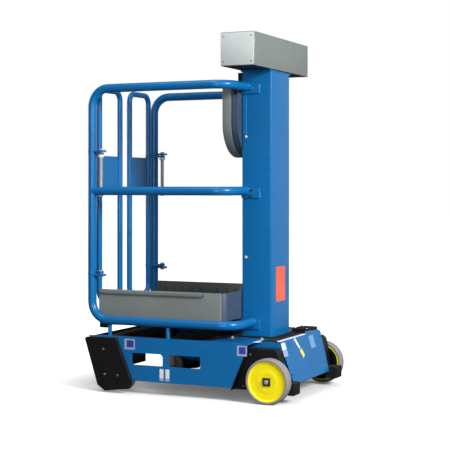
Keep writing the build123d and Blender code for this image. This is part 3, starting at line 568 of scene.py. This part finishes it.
def filleted(points, radius, steps=4):
    # a closed outline with each corner turned into a short arc
    out = []
    for i, point in enumerate(points):
        corner = Vector(point)
        before = Vector(points[i - 1]) - corner
        after = Vector(points[(i + 1) % len(points)]) - corner
        reach = min(radius, before.length * mostOfEdge, after.length * mostOfEdge)
        start = corner + before.normalized() * reach
        end = corner + after.normalized() * reach
        for j in range(steps + 1):
            t = j / steps
            out.append(tuple(start * (1 - t) ** 2 + corner * 2 * t * (1 - t) + end * t * t))
    return out


def boxRing(box, inset, corner, z):
    # a rounded outline inside that of the box, at one height
    width, length = [size - 2 * inset for size in box["size"]]
    return [
        Vector((box["middle"][0] + x, box["middle"][1] + y, z))
        for x, y in roundedOutline(width, length, corner)]


def joined(name, objects):
    # one plain mesh from several, for pieces of one body
    verts = []
    faces = []
    for obj in objects:
        start = len(verts)
        verts += [tuple(v.co) for v in obj.data.vertices]
        faces += [tuple(i + start for i in face.vertices) for face in obj.data.polygons]
        bpy.data.objects.remove(obj)
    return meshObject(name, verts, faces)


# Sheet, tube and moulded parts with rounded edges, in place of the plain solids
edgeWidths = {
    0.0006: ("deck",),
    0.0008: ("base_mast", "middle_mast", "axle_stub", "gate_plate", "hinge_pins"),
    0.001: ("mast_frame", "entry_panel", "equipment_cover", "base_mast_pads", "middle_mast_pads",
             "guard_rail", "middle_rail", "gate_frame"),
    0.0012: ("side_plate", "top_deck", "platform_stubs", "castor_fork", "hinge_brackets"),
    0.0013: ("end_panel",),
    0.0015: ("tray_bracket", "castor_mount"),
    0.002: ("winding_crank", "wheel_guard"),
    0.0022: ("bumper",),
    0.0025: ("cross_tubes", "underframe", "rubber_block"),
    0.004: ("landing_buffers",)}
finishOfNode = {"axle_stub": ("darkSteel",)}
for width, bases in edgeWidths.items():
    for name in list(nodes):
        base = name.removesuffix("_right").removesuffix("_left")
        if base in bases:
            piece = mergedCopy(name)
            roundEdges(piece, width)
            place(piece, name, *finishOfNode.get(base, ()))
            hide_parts(name)
print("rounded parts made")


# Column: a folded box with round corners and a lapped seam down each side
column = {
    "middle": (0.242, 0.0), "size": (0.141, 0.207), "wall": 0.003, "corner": 0.0065,
    "low": 0.235, "high": 1.4}
lap = {
    "x": 0.1845, "width": 0.018, "inside": -0.001, "outside": 0.0016, "round": 0.0012,
    "low": 1.128, "high": 1.29}
rings = []
for inset, level in ((0.0, "low"), (0.0, "high"), (column["wall"], "high"), (column["wall"], "low")):
    rings.append(boxRing(column, inset, column["corner"] - inset, column[level]))
columnParts = [loft("columnTube", rings, closedPath=True)]
halfWidth = lap["width"] / 2
lapOutline = filleted(
    rectangle((-halfWidth, lap["inside"]), (halfWidth, lap["outside"])), lap["round"])
for word, side in sides:
    spot = (lap["x"], side * column["size"][1] / 2, lap["low"])
    columnParts.append(prism(
        "columnLap", lapOutline, spot, (1, 0, 0), (0, side, 0), side * (lap["high"] - lap["low"])))
columnPiece = joined("column", columnParts)
place(columnPiece, "column")
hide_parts("column")
print("column made")


# Wheels and castors, turned from their sections: radius, and distance out from the centre given here
wheel = {
    "x": 0.39, "y": 0.35, "z": 0.095, "steps": 96, "innerDepth": 0.0155, "innerRadius": 0.0762,
    "tyre": ((0.084, 0.0), (0.0922, 0.0), (0.095, -0.006), (0.095, -0.044), (0.0922, -0.05),
             (0.084, -0.05)),
    "hub": ((0.0838, -0.003), (0.0805, -0.003), (0.077, -0.0058), (0.0755, -0.007), (0.047, -0.007),
            (0.046, -0.0064), (0.03, -0.0064), (0.029, -0.007), (0.0128, -0.007), (0.0128, -0.047),
            (0.027, -0.047), (0.027, -0.016), (0.0755, -0.016), (0.0755, -0.047), (0.0838, -0.047))}
castor = {
    "x": -0.34, "y": 0.232, "z": 0.05, "steps": 64, "forkOut": 0.02, "boltOut": 0.038,
    "tyre": ((0.038, 0.014), (0.047, 0.014), (0.05, 0.009), (0.05, -0.009), (0.047, -0.014),
             (0.038, -0.014)),
    "hub": ((0.0378, 0.013), (0.033, 0.013), (0.031, 0.0075), (0.017, 0.0075), (0.016, 0.013),
            (0.0063, 0.013), (0.0063, -0.013), (0.016, -0.013), (0.017, -0.0075), (0.031, -0.0075),
            (0.033, -0.013), (0.0378, -0.013))}
castorRace = {
    "x": -0.375, "z": 0.1092, "steps": 48, "round": 0.0005,
    "section": ((0.011, 0.0054), (0.0315, 0.0054), (0.033, 0.0036), (0.03, 0.0028), (0.033, 0.002),
                (0.03, 0.0002), (0.011, 0.0002))}
for word, side in sides:
    for kind, spec in (("wheel", wheel), ("castor", castor)):
        centre = Vector((spec["x"], side * spec["y"], spec["z"]))
        for part, arc in (("tyre", 0.003), ("hub", 0.0009)):
            node = f"{kind}_{part}_{word}"
            section = filleted(spec[part], arc)
            piece = turned(pieceName(node), section, centre, (0, side, 0), spec["steps"])
            place(piece, node, *(("yellowPaint", "blackPaint") if node.startswith("wheel_hub") else ()))
            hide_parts(node)
            if node.startswith("wheel_hub"):
                # the deep faces of the dished side that faces the chassis are black, a painted shade inside
                # the dish
                for face in piece.data.polygons:
                    away = face.center - centre
                    depth = -side * away.y
                    if depth > wheel["innerDepth"] and math.hypot(away.x, away.z) < wheel["innerRadius"]:
                        face.material_index = 1
    centre = (castorRace["x"], side * castor["y"], castorRace["z"])
    section = filleted(castorRace["section"], castorRace["round"], 2)
    ring = turned("castorRace" + word.capitalize(), section, centre, (0, 0, 1), castorRace["steps"])
    place(ring, "castor_fork_" + word, "zincSteel")
print("wheels and castors made")


# Springs on the hinge pins, each under a cup
spring = {
    "x": -0.4295, "y": 0.291, "low": 0.9008, "high": 1.0398, "coil": 0.008, "wire": 0.00125,
    "turns": 27, "perTurn": 20, "steps": 8}
springCup = {  # radius, and distance below the top
    "top": 1.0412, "steps": 40, "round": 0.0004,
    "section": ((0.0064, 0.0), (0.0135, 0.0), (0.0135, 0.012), (0.0122, 0.012), (0.0122, 0.0013),
                (0.0064, 0.0013))}
coilSteps = spring["turns"] * spring["perTurn"]
coilRise = spring["high"] - spring["low"] - 2 * spring["wire"]
for word, side in sides:
    node = "hinge_spring_" + word
    path = []
    for i in range(coilSteps + 1):
        t = 2 * math.pi * i / spring["perTurn"]
        path.append(Vector((
            spring["x"] + spring["coil"] * math.cos(t), side * spring["y"] + spring["coil"] * math.sin(t),
            spring["low"] + spring["wire"] + coilRise * i / coilSteps)))
    rings = tubeRings(path, [spring["wire"]] * len(path), spring["steps"])
    coil = loft(pieceName(node), rings)
    place(coil, node, "springSteel")
    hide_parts(node)
    section = filleted(springCup["section"], springCup["round"], 2)
    centre = (spring["x"], side * spring["y"], springCup["top"])
    cup = turned("springCup" + word.capitalize(), section, centre, (0, 0, -1), springCup["steps"])
    place(cup, node, "creamNylon")
print("springs made")


# Tool tray, folded from sheet with a hem, with ends in a lighter sheet as a painted sheen and an underside
# painted black as a painted shade
tray = {  # sections are distance inside the outline, and height
    "middle": (0.243, 0.0), "size": (0.156, 0.622), "corner": 0.004, "leastCorner": 0.0008,
    "section": ((0.004, 1.407), (0.0012, 1.4078), (0.0, 1.4105), (0.0, 1.5472), (0.001, 1.5492),
                (0.003, 1.55), (0.0068, 1.55), (0.008, 1.5492), (0.008, 1.547), (0.0068, 1.5462),
                (0.0032, 1.5462), (0.0022, 1.545), (0.0022, 1.4105), (0.004, 1.4095)),
    "straight": 0.9, "endFrom": 0.3105, "underTo": 1.408}
toolTray = loft("toolTray", [
    boxRing(tray, inset, max(tray["corner"] - inset / 2, tray["leastCorner"]), z)
    for inset, z in tray["section"]])
place(toolTray, "tool_tray", "silverSheet", "brightSheet", "blackPaint")
for face in toolTray.data.polygons:
    # the faces at both ends take the lighter sheet, a painted sheen
    if abs(face.normal.y) > tray["straight"] and abs(face.center.y) > tray["endFrom"]:
        face.material_index = 1
    # the faces underneath take black paint, a painted shade
    elif face.normal.z < -tray["straight"] and face.center.z < tray["underTo"]:
        face.material_index = 2
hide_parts("tool_tray")
print("tool tray made")


# Kickboard: a moulded wall with a rolled top, soft ribs inside and a half-round band outside, with painted
# shade on its inner faces and on its faces towards +X
kick = {  # the section is distance inside the outline, and height
    "x": (-0.4505, 0.1693), "y": 0.2718, "corner": 0.03, "cornerSteps": 8, "wall": 0.004,
    "section": ((0.0, 0.3262), (0.0, 0.4435), (0.0008, 0.4448), (0.0024, 0.445), (0.0036, 0.4444),
                (0.004, 0.443), (0.004, 0.3262)),
    "low": 0.3262, "sill": 0.345, "sillRound": 0.0012, "insideFrom": 0.0034, "slateFrom": 0.35}
rib = {
    "firstX": -0.413, "alongSide": 11, "eachWay": 4, "pitch": 0.05, "low": 0.3302, "tall": 0.0938,
    "round": 0.004, "section": ((-0.013, -0.001), (-0.0078, 0.005), (0.0078, 0.005), (0.013, -0.001))}
band = {
    "start": -0.449, "end": 0.068, "middle": 0.434, "height": 0.022, "sunk": 0.001, "depth": 0.0085,
    "fullness": 0.45, "endDepth": 0.35, "endHeight": 0.04, "steps": 12}


def kickOutline(inset):
    # round three sides, from the entry end along the right side and back along the left
    startX, endX = kick["x"]
    y = kick["y"] - inset
    radius = kick["corner"] - inset
    points = [(startX, -y)]
    for centreY, start in ((radius - y, -90), (y - radius, 0)):
        for i in range(kick["cornerSteps"] + 1):
            t = math.radians(start + 90 * i / kick["cornerSteps"])
            points.append((
                endX - inset - radius + radius * math.cos(t), centreY + radius * math.sin(t)))
    return [*points, (startX, y)]


def bandRing(t, side):
    # t runs from -1 to 1, and beyond a half each way the band tapers off in a half circle
    halfHeight = band["height"] / 2
    halfStraight = (band["end"] - band["start"]) / 2 - halfHeight
    turn = max(0.0, 2 * abs(t) - 1) * math.pi / 2
    x = (band["start"] + band["end"]) / 2 + min(max(2 * t, -1), 1) * halfStraight
    x += math.copysign(halfHeight * math.sin(turn), t)
    shrink = max(math.cos(turn), band["endHeight"])
    depth = band["depth"] * (band["endDepth"] + (1 - band["endDepth"]) * shrink)
    ring = []
    for j in range(band["steps"] + 1):
        a = math.pi * j / band["steps"]
        out = kick["y"] - band["sunk"] + depth * math.sin(a) ** band["fullness"]
        ring.append(Vector((x, side * out, band["middle"] - halfHeight * shrink * math.cos(a))))
    return ring


def kickDepth(centre):
    # how far a face lies inside the outer outline, round corners included
    fromSide = kick["y"] - abs(centre.y)
    fromEnd = kick["x"][1] - centre.x
    if max(fromSide, fromEnd) < kick["corner"]:
        return kick["corner"] - math.hypot(kick["corner"] - fromSide, kick["corner"] - fromEnd)
    return min(fromSide, fromEnd)


lines = [[Vector((x, y, z)) for x, y in kickOutline(inset)] for inset, z in kick["section"]]
kickParts = [loft("kickWall", list(zip(*lines)))]
innerX = kick["x"][1] - kick["wall"]
innerY = kick["y"] - kick["wall"]
sillOutline = filleted(rectangle((0, kick["low"]), (kick["wall"], kick["sill"])), kick["sillRound"])
kickParts.append(prism(
    "kickSill", sillOutline, (kick["x"][0], innerY, 0), (1, 0, 0), (0, 0, 1), 2 * innerY))
ribSpots = []
for i in range(-rib["eachWay"], rib["eachWay"] + 1):
    ribSpots.append(((innerX, i * rib["pitch"]), (0, 1, 0), (-1, 0, 0)))
for i in range(rib["alongSide"]):
    for side in (-1, 1):
        ribSpots.append(((rib["firstX"] + i * rib["pitch"], side * innerY), (-side, 0, 0), (0, -side, 0)))
for spot, along, inward in ribSpots:
    outline = filleted(rib["section"], rib["round"])
    kickParts.append(prism("kickRib", outline, (*spot, rib["low"]), along, inward, rib["tall"]))
for side in (-1, 1):
    rings = [bandRing(i / band["steps"], side) for i in range(-band["steps"], band["steps"] + 1)]
    kickParts.append(loft("kickBand", rings))
kickboard = joined("kickboard", kickParts)
place(kickboard, "kickboard", "greyMoulding", "innerMoulding", "slateMoulding")
for face in kickboard.data.polygons:
    # faces inside the wall get the darker moulding, a painted shade
    if kickDepth(face.center) > kick["insideFrom"]:
        face.material_index = 1
    # faces towards +X get the dark blue-grey moulding, a painted shade
    elif face.normal.x > kick["slateFrom"]:
        face.material_index = 2
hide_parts("kickboard")
print("kickboard made")


# Weld beads, rippled rings and lines where tubes and plates meet
weld = {
    "tubeWire": 0.0022, "plateWire": 0.0016, "ripple": 0.00045, "pitch": 0.004, "step": 0.0015, "steps": 6}
railEnd = {
    "spots": ((0.192, 1.335, "guard_rail"), (0.192, 0.881, "middle_rail"), (0.222, 0.31, "guard_rail")),
    "y": 0.1102, "radius": 0.0196, "steps": 90, "plateX": (0.1717, 0.2567), "plateY": 0.104,
    "plateOver": 0.013, "plateTall": 0.043}
saddle = {"x": -0.4735, "y": 0.291, "z": 0.881, "radius": 0.0193, "least": 0.02, "steps": 90}
collars = (  # node, Y, radius, steps round it, wire and heights
    ("gate_frame", 0.23, 0.013, 60, 0.0015, (1.042, 1.051, 0.515, 0.524)),
    ("hinge_brackets", 0.291, 0.0188, 90, 0.0014, (1.062, 1.053, 0.513, 0.504)))


def bead(path, closed, wire):
    # the radius rises and falls along the path as a hand weld's does
    radii = []
    travelled = 0.0
    for i, point in enumerate(path):
        travelled += (point - path[i - 1]).length if i else 0.0
        radii.append(wire + weld["ripple"] * math.sin(2 * math.pi * travelled / weld["pitch"]))
    return loft("weldPart", tubeRings(path, radii, weld["steps"], closed), closed)


def lineBead(start, end, wire):
    count = max(int((end - start).length / weld["step"]), 2)
    return bead([start.lerp(end, i / count) for i in range(count + 1)], False, wire)


def saddlePath(side):
    # the curve where the middle rail meets the post
    radius = saddle["radius"]
    return [
        Vector((
            saddle["x"] + radius * math.sqrt(math.cos(t) ** 2 + saddle["least"]),
            side * saddle["y"] + radius * math.sin(t), saddle["z"] + radius * math.cos(t)))
        for t in fullTurn(saddle["steps"])]


for word, side in sides:
    beads = {"guard_rail": [], "middle_rail": [], "gate_frame": [], "hinge_brackets": []}
    for x, z, node in railEnd["spots"]:
        ring = circlePath((x, side * railEnd["y"], z), (0, side, 0), railEnd["radius"], railEnd["steps"])
        beads[node].append(bead(ring, True, weld["tubeWire"]))
        top = z + railEnd["plateOver"]
        for plateX in railEnd["plateX"]:
            low, high = [
                Vector((plateX, side * railEnd["plateY"], height))
                for height in (top - railEnd["plateTall"], top)]
            beads[node].append(lineBead(low, high, weld["plateWire"]))
    beads["middle_rail"].append(bead(saddlePath(side), True, weld["tubeWire"]))
    for node, y, radius, steps, wire, heights in collars:
        for z in heights:
            ring = circlePath((saddle["x"], side * y, z), (0, 0, 1), radius, steps)
            beads[node].append(bead(ring, True, wire))
    for node, parts in beads.items():
        welds = joined("welds" + pieceName(node).capitalize() + word.capitalize(), parts)
        place(welds, f"{node}_{word}", "bluePaint")
print("weld beads made")


# Winding gear: the crank's grip and the two shells of the housing
grip = {  # radius, and distance along the grip
    "x": 0.0726, "y": 0.11, "z": 1.177, "steps": 40, "round": 0.002,
    "section": ((0.0002, 0.0), (0.0105, 0.0), (0.0138, 0.003), (0.014, 0.007), (0.0118, 0.011),
                (0.0132, 0.02), (0.014, 0.03), (0.0132, 0.04), (0.014, 0.05), (0.0132, 0.06),
                (0.014, 0.07), (0.013, 0.08), (0.0105, 0.0862), (0.006, 0.088), (0.0002, 0.088))}
housing = {  # sections are distance inside the outline, and X
    "z": 1.177, "top": 1.33, "radius": 0.148, "bore": 0.0123, "floor": 0.1,
    "sideSteps": 30, "bottomSteps": 60, "topSteps": 40,
    "winding_housing": ((0.04, 0.0975), (0.015, 0.0975), (0.012, 0.097), (0.005, 0.097),
                        (0.0024, 0.0974), (0.0006, 0.099), (0.0, 0.1015), (0.0, 0.1385),
                        (0.0006, 0.14), (0.003, 0.1402), (0.003, 0.1)),
    "housing_back": ((0.0052, 0.133), (0.0052, 0.144), (0.0016, 0.1442), (0.0, 0.1455),
                     (0.0, 0.1713))}


def housingPath(radius, top, x):
    # the flat-topped outline, down one side, round the bottom, up the other side and back
    drop = housing["z"] - top
    down = [(-radius, top + drop * i / housing["sideSteps"]) for i in range(housing["sideSteps"])]
    arc = [math.pi + math.pi * i / housing["bottomSteps"] for i in range(housing["bottomSteps"] + 1)]
    bottom = [(radius * math.cos(t), housing["z"] + radius * math.sin(t)) for t in arc]
    up = [(radius, z) for y, z in reversed(down)]
    back = [(radius - 2 * radius * i / housing["topSteps"], top) for i in range(1, housing["topSteps"])]
    return [Vector((x, y, z)) for y, z in down + bottom + up + back]


def borePath(x):
    # the crank's bore, with one point for each point of the outline
    middle = Vector((x, 0, housing["z"]))
    outline = housingPath(housing["radius"], housing["top"], x)
    return [middle + (point - middle).normalized() * housing["bore"] for point in outline]


crankGrip = turned(
    "crankGrip", filleted(grip["section"], grip["round"], 3), (grip["x"], grip["y"], grip["z"]),
    (-1, 0, 0), grip["steps"])
place(crankGrip, "crank_grip")
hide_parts("crank_grip")
for node in ("winding_housing", "housing_back"):
    rings = [housingPath(housing["radius"] - inset, housing["top"] - inset, x) for inset, x in housing[node]]
    bored = node == "winding_housing"
    if bored:
        rings = [borePath(x) for x in (housing["floor"], housing[node][0][1])] + rings
    shell = loft(pieceName(node), rings, bored)
    place(shell, node)
    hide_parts(node)
print("winding gear made")


# Fasteners, one Geometry Nodes group for every screw, bolt and rivet
headProfiles = {  # radius and height for a head 1 wide, and a 6 where the ring has six sides
    "screw": (
        (0.5, -0.05), (0.5, 0.08), (0.46, 0.17), (0.36, 0.25),
        (0.26, 0.28), (0.22, 0.28, 6), (0.21, 0.1, 6), (0.05, 0.08, 6)),
    "bolt": (
        (0.5, -0.05), (0.5, 0.05), (0.47, 0.08), (0.36, 0.08, 6),
        (0.36, 0.33, 6), (0.33, 0.38, 6), (0.22, 0.39), (0.03, 0.39)),
    "stud": ((0.5, -0.05), (0.5, 0.07), (0.44, 0.13), (0.03, 0.13)),
    "rivet": (
        (0.5, -0.05), (0.49, 0.04), (0.42, 0.14), (0.28, 0.22),
        (0.12, 0.25), (0.02, 0.25))}
headSteps = 24
headSharp = math.radians(30)
spinSeed = 3


def headMesh(name, profile):
    # round or six-sided rings, where a six-sided one reaches further at its corners
    sixth = math.pi / 6
    rings = []
    for radius, height, *sixSided in profile:
        reaches = [
            radius / math.cos((t + sixth) % (2 * sixth) - sixth) if sixSided else radius
            for t in fullTurn(headSteps)]
        rings.append([
            Vector((reach * math.cos(t), reach * math.sin(t), height))
            for t, reach in zip(fullTurn(headSteps), reaches)])
    obj = loft(name, rings)
    obj.data.shade_smooth()
    obj.data.set_sharp_from_angle(angle=headSharp)
    return obj


def makeFastenerSet():
    # the head on every point, turned to face the point's own way and then at random about that axis
    group, given, out = newGroup(
        "fastenerSet", "GeometryNodeTree",
        [("Geometry", "Geometry"), ("Fastener", "Object"), ("Size", "Float"), ("Seed", "Int"),
         ("Finish", "Material")],
        [("Geometry", "Geometry")])
    head = addNode(group, "GeometryNodeObjectInfo", {"Object": given["Fastener"]})
    facing = addNode(
        group, "GeometryNodeInputNamedAttribute", {"Name": "facing"}, data_type="FLOAT_VECTOR")
    align = addNode(
        group, "FunctionNodeAlignRotationToVector", {"Vector": facing.outputs["Attribute"]}, axis="Z")
    spin = addNode(group, "FunctionNodeRandomValue", {"Seed": given["Seed"]}, data_type="FLOAT")
    low, high = [socket for socket in spin.inputs if socket.type == "VALUE" and socket.enabled][:2]
    low.default_value = 0.0
    high.default_value = 2 * math.pi
    angle = next(socket for socket in spin.outputs if socket.enabled)
    about = addNode(group, "FunctionNodeAxisAngleToRotation", {"Axis": (0, 0, 1), "Angle": angle})
    turn = addNode(
        group, "FunctionNodeRotateRotation",
        {"Rotation": align.outputs["Rotation"], "Rotate By": about.outputs["Rotation"]},
        rotation_space="LOCAL")
    scatter = addNode(group, "GeometryNodeInstanceOnPoints", {
        "Points": given["Geometry"], "Instance": head.outputs["Geometry"],
        "Rotation": turn.outputs["Rotation"], "Scale": given["Size"]})
    whole = addNode(group, "GeometryNodeRealizeInstances", {"Geometry": scatter.outputs["Instances"]})
    painted = addNode(group, "GeometryNodeSetMaterial", {
        "Geometry": whole.outputs["Geometry"], "Material": given["Finish"]})
    feed(group, out, {"Geometry": painted.outputs["Geometry"]})
    return group


def fasteners(name, kind, size, finishName, node, spots):
    # spots are pairs of a point and the direction that the head faces
    mesh = bpy.data.meshes.new(name)
    mesh.from_pydata([point for point, facing in spots], [], [])
    attribute = mesh.attributes.new("facing", "FLOAT_VECTOR", "POINT")
    for i, (point, facing) in enumerate(spots):
        attribute.data[i].vector = facing
    obj = newObject(name, mesh)
    modifier = obj.modifiers.new("set", "NODES")
    modifier.node_group = fastenerSet
    values = {"Fastener": heads[kind], "Size": size, "Seed": spinSeed, "Finish": finish[finishName]}
    for item in fastenerSet.interface.items_tree:
        if item.in_out == "INPUT" and item.name in values:
            modifier[item.identifier] = values[item.name]
    bakeModifiers(obj)
    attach(obj, bodyOf(node))


heads = {kind: headMesh(kind + "Head", profile) for kind, profile in headProfiles.items()}
fastenerSet = makeFastenerSet()
sideFixings = {  # kind, size, finish, node, distance out, and X and Z of each
    "bumperScrews": (
        "screw", 0.011, "darkZinc", "bumper", 0.35, ((-0.384, 0.189), (-0.376, 0.08), (-0.313, 0.078))),
    "guardScrews": (
        "screw", 0.01, "darkZinc", "wheel_guard", 0.295, ((0.295, 0.197), (0.262, 0.063), (0.3, 0.13))),
    "guardRailBolts": (
        "bolt", 0.014, "bluePaint", "guard_rail", 0.1097,
        ((0.1805, 1.3265), (0.2195, 1.3265), (0.1805, 0.3015), (0.2195, 0.3015))),
    "padScrews": ("screw", 0.012, "creamNylon", "column", 0.1035, ((0.1915, 1.118), (0.1915, 0.592))),
    "middleRailBolts": (
        "bolt", 0.014, "darkSteel", "middle_rail", 0.1097, ((0.2195, 0.886), (0.2195, 0.86))),
    "trayRivets": (
        "rivet", 0.007, "silverSheet", "tool_tray", 0.311,
        ((0.18, 1.425), (0.18, 1.532), (0.306, 1.425), (0.306, 1.532))),
    "axleEnd": ("stud", 0.018, "zincSteel", "axle_stub", 0.35, ((0.39, 0.095),)),
    "sideFlangeRivets": (
        "rivet", 0.009, "bluePaint", "side_plate", 0.33, ((-0.383, 0.221), (-0.094, 0.221), (0.085, 0.221)))}
gridFixings = {  # kind, size, finish, node, the way it faces, and the X, Y and Z values
    "crankHubNut": ("bolt", 0.026, "zincSteel", "winding_crank", (-1, 0, 0), (0.0728,), (0.0,), (1.177,)),
    "gripScrew": ("screw", 0.009, "zincSteel", "crank_grip", (-1, 0, 0), (-0.0154,), (0.11,), (1.177,)),
    "coverScrews": (
        "screw", 0.009, "zincSteel", "equipment_cover", (0, 0, 1), (0.33, 0.384), (0.13, 0.224), (0.266,)),
    "deckScrews": (
        "screw", 0.012, "zincSteel", "deck", (0, 0, 1), (-0.436, 0.152), (-0.2125, 0.2125), (0.33,)),
    "topDeckBolts": (
        "bolt", 0.017, "zincSteel", "top_deck", (0, 0, 1), (0.15, 0.29), (-0.16, 0.16), (0.245,)),
    "trayBolts": (
        "bolt", 0.016, "bluePaint", "tray_bracket", (0, 0, -1), (0.205, 0.279), (-0.1105, 0.1105), (1.3998,)),
    "footPlateBolts": (
        "bolt", 0.022, "zincSteel", "mast_frame", (0, 0, -1), (0.16, 0.324), (-0.09, 0.09), (0.057,))}
for word, side in sides:
    gridFixings["gatePlateRivets" + word.capitalize()] = (
        "rivet", 0.007, "bluePaint", "gate_plate_" + word, (-1, 0, 0), (-0.475,),
        (side * 0.066, side * 0.209), (0.902, 0.9665, 1.031))
    gridFixings["castorPlateBolts" + word.capitalize()] = (
        "bolt", 0.016, "zincSteel", "castor_mount_" + word, (0, 0, -1), (-0.413, -0.337),
        (side * castor["y"] - castor["boltOut"], side * castor["y"] + castor["boltOut"]), (0.115,))
    for name, (kind, size, finishName, node, out, spots) in sideFixings.items():
        fasteners(
            name + word.capitalize(), kind, size, finishName, node if node in nodes else f"{node}_{word}",
            [((x, side * out, z), (0, side, 0)) for x, z in spots])
    spots = []
    for end in (-1, 1):
        y = side * castor["y"] + end * castor["forkOut"]
        spots.append(((castor["x"], y, castor["z"]), (0, end, 0)))
    fasteners("castorAxleBolts" + word.capitalize(), "bolt", 0.02, "zincSteel", "castor_fork_" + word, spots)
for name, (kind, size, finishName, node, facing, *values) in gridFixings.items():
    spots = [((x, y, z), facing) for x in values[0] for y in values[1] for z in values[2]]
    fasteners(name, kind, size, finishName, node, spots)
housingScrew = {
    "x": 0.097, "z": 1.177, "radius": 0.136, "angles": (192, 231, 270, 309, 348),
    "topZ": 1.318, "topY": (-0.124, 0.0, 0.124)}
spots = []
for angle in housingScrew["angles"]:
    t = math.radians(angle)
    spots.append((
        housingScrew["radius"] * math.cos(t), housingScrew["z"] + housingScrew["radius"] * math.sin(t)))
spots += [(y, housingScrew["topZ"]) for y in housingScrew["topY"]]
fasteners(
    "housingScrews", "screw", 0.01, "zincSteel", "winding_housing",
    [((housingScrew["x"], y, z), (-1, 0, 0)) for y, z in spots])
panel = {  # the end panel's outer face leans in by its run over its rise
    "x": 0.461, "low": 0.07, "run": 0.053, "rise": 0.178,
    "screws": ((-0.205, 0.11), (0.205, 0.11), (-0.15, 0.232), (0.224, 0.225))}
panelOut = Vector((panel["rise"], 0, panel["run"])).normalized()
panelUp = Vector((-panel["run"], 0, panel["rise"])).normalized()


def onPanel(y, z):
    return (panel["x"] - panel["run"] * (z - panel["low"]) / panel["rise"], y, z)


fasteners(
    "panelScrews", "screw", 0.012, "bluePaint", "end_panel",
    [(onPanel(y, z), panelOut) for y, z in panel["screws"]])
for head in heads.values():
    bpy.data.objects.remove(head)
print("fasteners made")


# Blank labels, thin and with rounded corners
lean = {"across": 0.557, "up": 0.83}  # two labels on the panel are stuck on at a slant
labelFaces = {  # node that carries the label, direction across and direction up
    "side": ("side_plate_right", (1, 0, 0), (0, 0, 1)),
    "deck": ("top_deck", (1, 0, 0), (0, 1, 0)),
    "column": ("column", (0, 1, 0), (0, 0, 1)),
    "panel": ("end_panel", (0, 1, 0), panelUp),
    "slanted": (
        "end_panel", panelUp * lean["across"] + Vector((0, lean["up"], 0)),
        panelUp * lean["up"] - Vector((0, lean["across"], 0)))}
labels = {  # face, centre, size and finish
    "sideLabelNear": ("side", (-0.262, -0.33, 0.2145), (0.052, 0.046), "labelLilac"),
    "sideLabelFar": ("side", (0.273, -0.33, 0.2145), (0.046, 0.044), "labelLilac"),
    "sideInnerNear": ("side", (-0.259, -0.3304, 0.2165), (0.034, 0.03), "labelBlue"),
    "sideInnerFar": ("side", (0.275, -0.3304, 0.2165), (0.03, 0.03), "labelBlue"),
    "slotLabelOne": ("side", (-0.105, -0.33, 0.096), (0.019, 0.04), "labelWhite"),
    "slotLabelTwo": ("side", (-0.077, -0.33, 0.096), (0.019, 0.04), "labelWhite"),
    "slotLabelThree": ("side", (-0.105, -0.33, 0.07), (0.019, 0.01), "labelLilac"),
    "slotLabelFour": ("side", (-0.077, -0.33, 0.07), (0.019, 0.01), "labelLilac"),
    "deckLabel": ("deck", (0.308, -0.232, 0.245), (0.027, 0.08), "labelWhite"),
    "columnLabel": ("column", (0.3125, -0.0025, 0.4735), (0.105, 0.153), "labelRed"),
    "panelLabelOne": ("panel", onPanel(-0.2155, 0.227), (0.045, 0.0312), "labelWhite"),
    "panelLabelTwo": ("panel", onPanel(-0.2155, 0.198), (0.045, 0.02496), "labelLilac"),
    "panelLabelThree": ("panel", onPanel(0.107, 0.2125), (0.056, 0.0572), "labelPale"),
    "panelLabelFour": ("slanted", onPanel(-0.066, 0.224), (0.017, 0.056), "labelWhite"),
    "panelLabelFive": ("slanted", onPanel(-0.036, 0.18), (0.026, 0.04), "labelYellow")}
labelThick = 0.0005
labelCorner = 0.0025
for name, (face, spot, size, finishName) in labels.items():
    node, across, up = labelFaces[face]
    label = prism(name, roundedOutline(*size, labelCorner, 3), spot, across, up, labelThick)
    place(label, node, finishName)
print("labels made")


# Matting, trim and small brackets round the foot and the head of the column; the black ones also stand in as
# painted shade, and the white deck lip as a painted highlight
plates = {  # node that carries it, low corner, high corner, edge rounding and finish
    # black rubber mat and skirts round the column's foot, which also stand in as painted shade there
    "deckMat": ("top_deck", (0.3135, -0.233, 0.2446), (0.396, 0.115, 0.2468), 0.0008, "blackRubber"),
    # a near-white strip along the end panel's top edge, trim that also stands in as a painted highlight
    "deckLip": ("top_deck", (0.3925, -0.238, 0.2482), (0.4065, 0.058, 0.252), 0.0012, "labelWhite"),
    "columnSkirtFront": (
        "top_deck", (0.32, -0.113, 0.2446), (0.329, 0.113, 0.252), 0.002, "blackRubber"),
    "columnSkirtRight": (
        "top_deck", (0.156, -0.12, 0.2446), (0.329, -0.111, 0.252), 0.002, "blackRubber"),
    "columnSkirtLeft": (
        "top_deck", (0.156, 0.111, 0.2446), (0.329, 0.12, 0.252), 0.002, "blackRubber"),
    "columnBandLow": ("column", (0.3115, -0.096, 0.308), (0.3137, 0.096, 0.31), 0.0006, "bluePaint"),
    "columnBandHigh": ("column", (0.3115, -0.096, 0.321), (0.3137, 0.096, 0.323), 0.0006, "bluePaint"),
    # black bracket and latch beside the column's head, which also stand in as painted shade there
    "headBracket": ("column", (0.152, -0.103, 1.332), (0.1716, -0.085, 1.398), 0.0015, "blackPlastic"),
    "shellLatch": (
        "housing_back", (0.157, -0.156, 1.3), (0.1712, -0.147, 1.326), 0.0015, "blackPlastic")}
leastCorner = 0.002
for name, (node, low, high, width, finishName) in plates.items():
    size = [b - a for a, b in zip(low, high)]
    outline = filleted(rectangle((0, 0), size), max(width * 2, leastCorner), 3)
    plate = prism(name, outline, low, (1, 0, 0), (0, 1, 0), size[2])
    roundEdges(plate, width)
    place(plate, node, finishName)
print("matting and trim made")
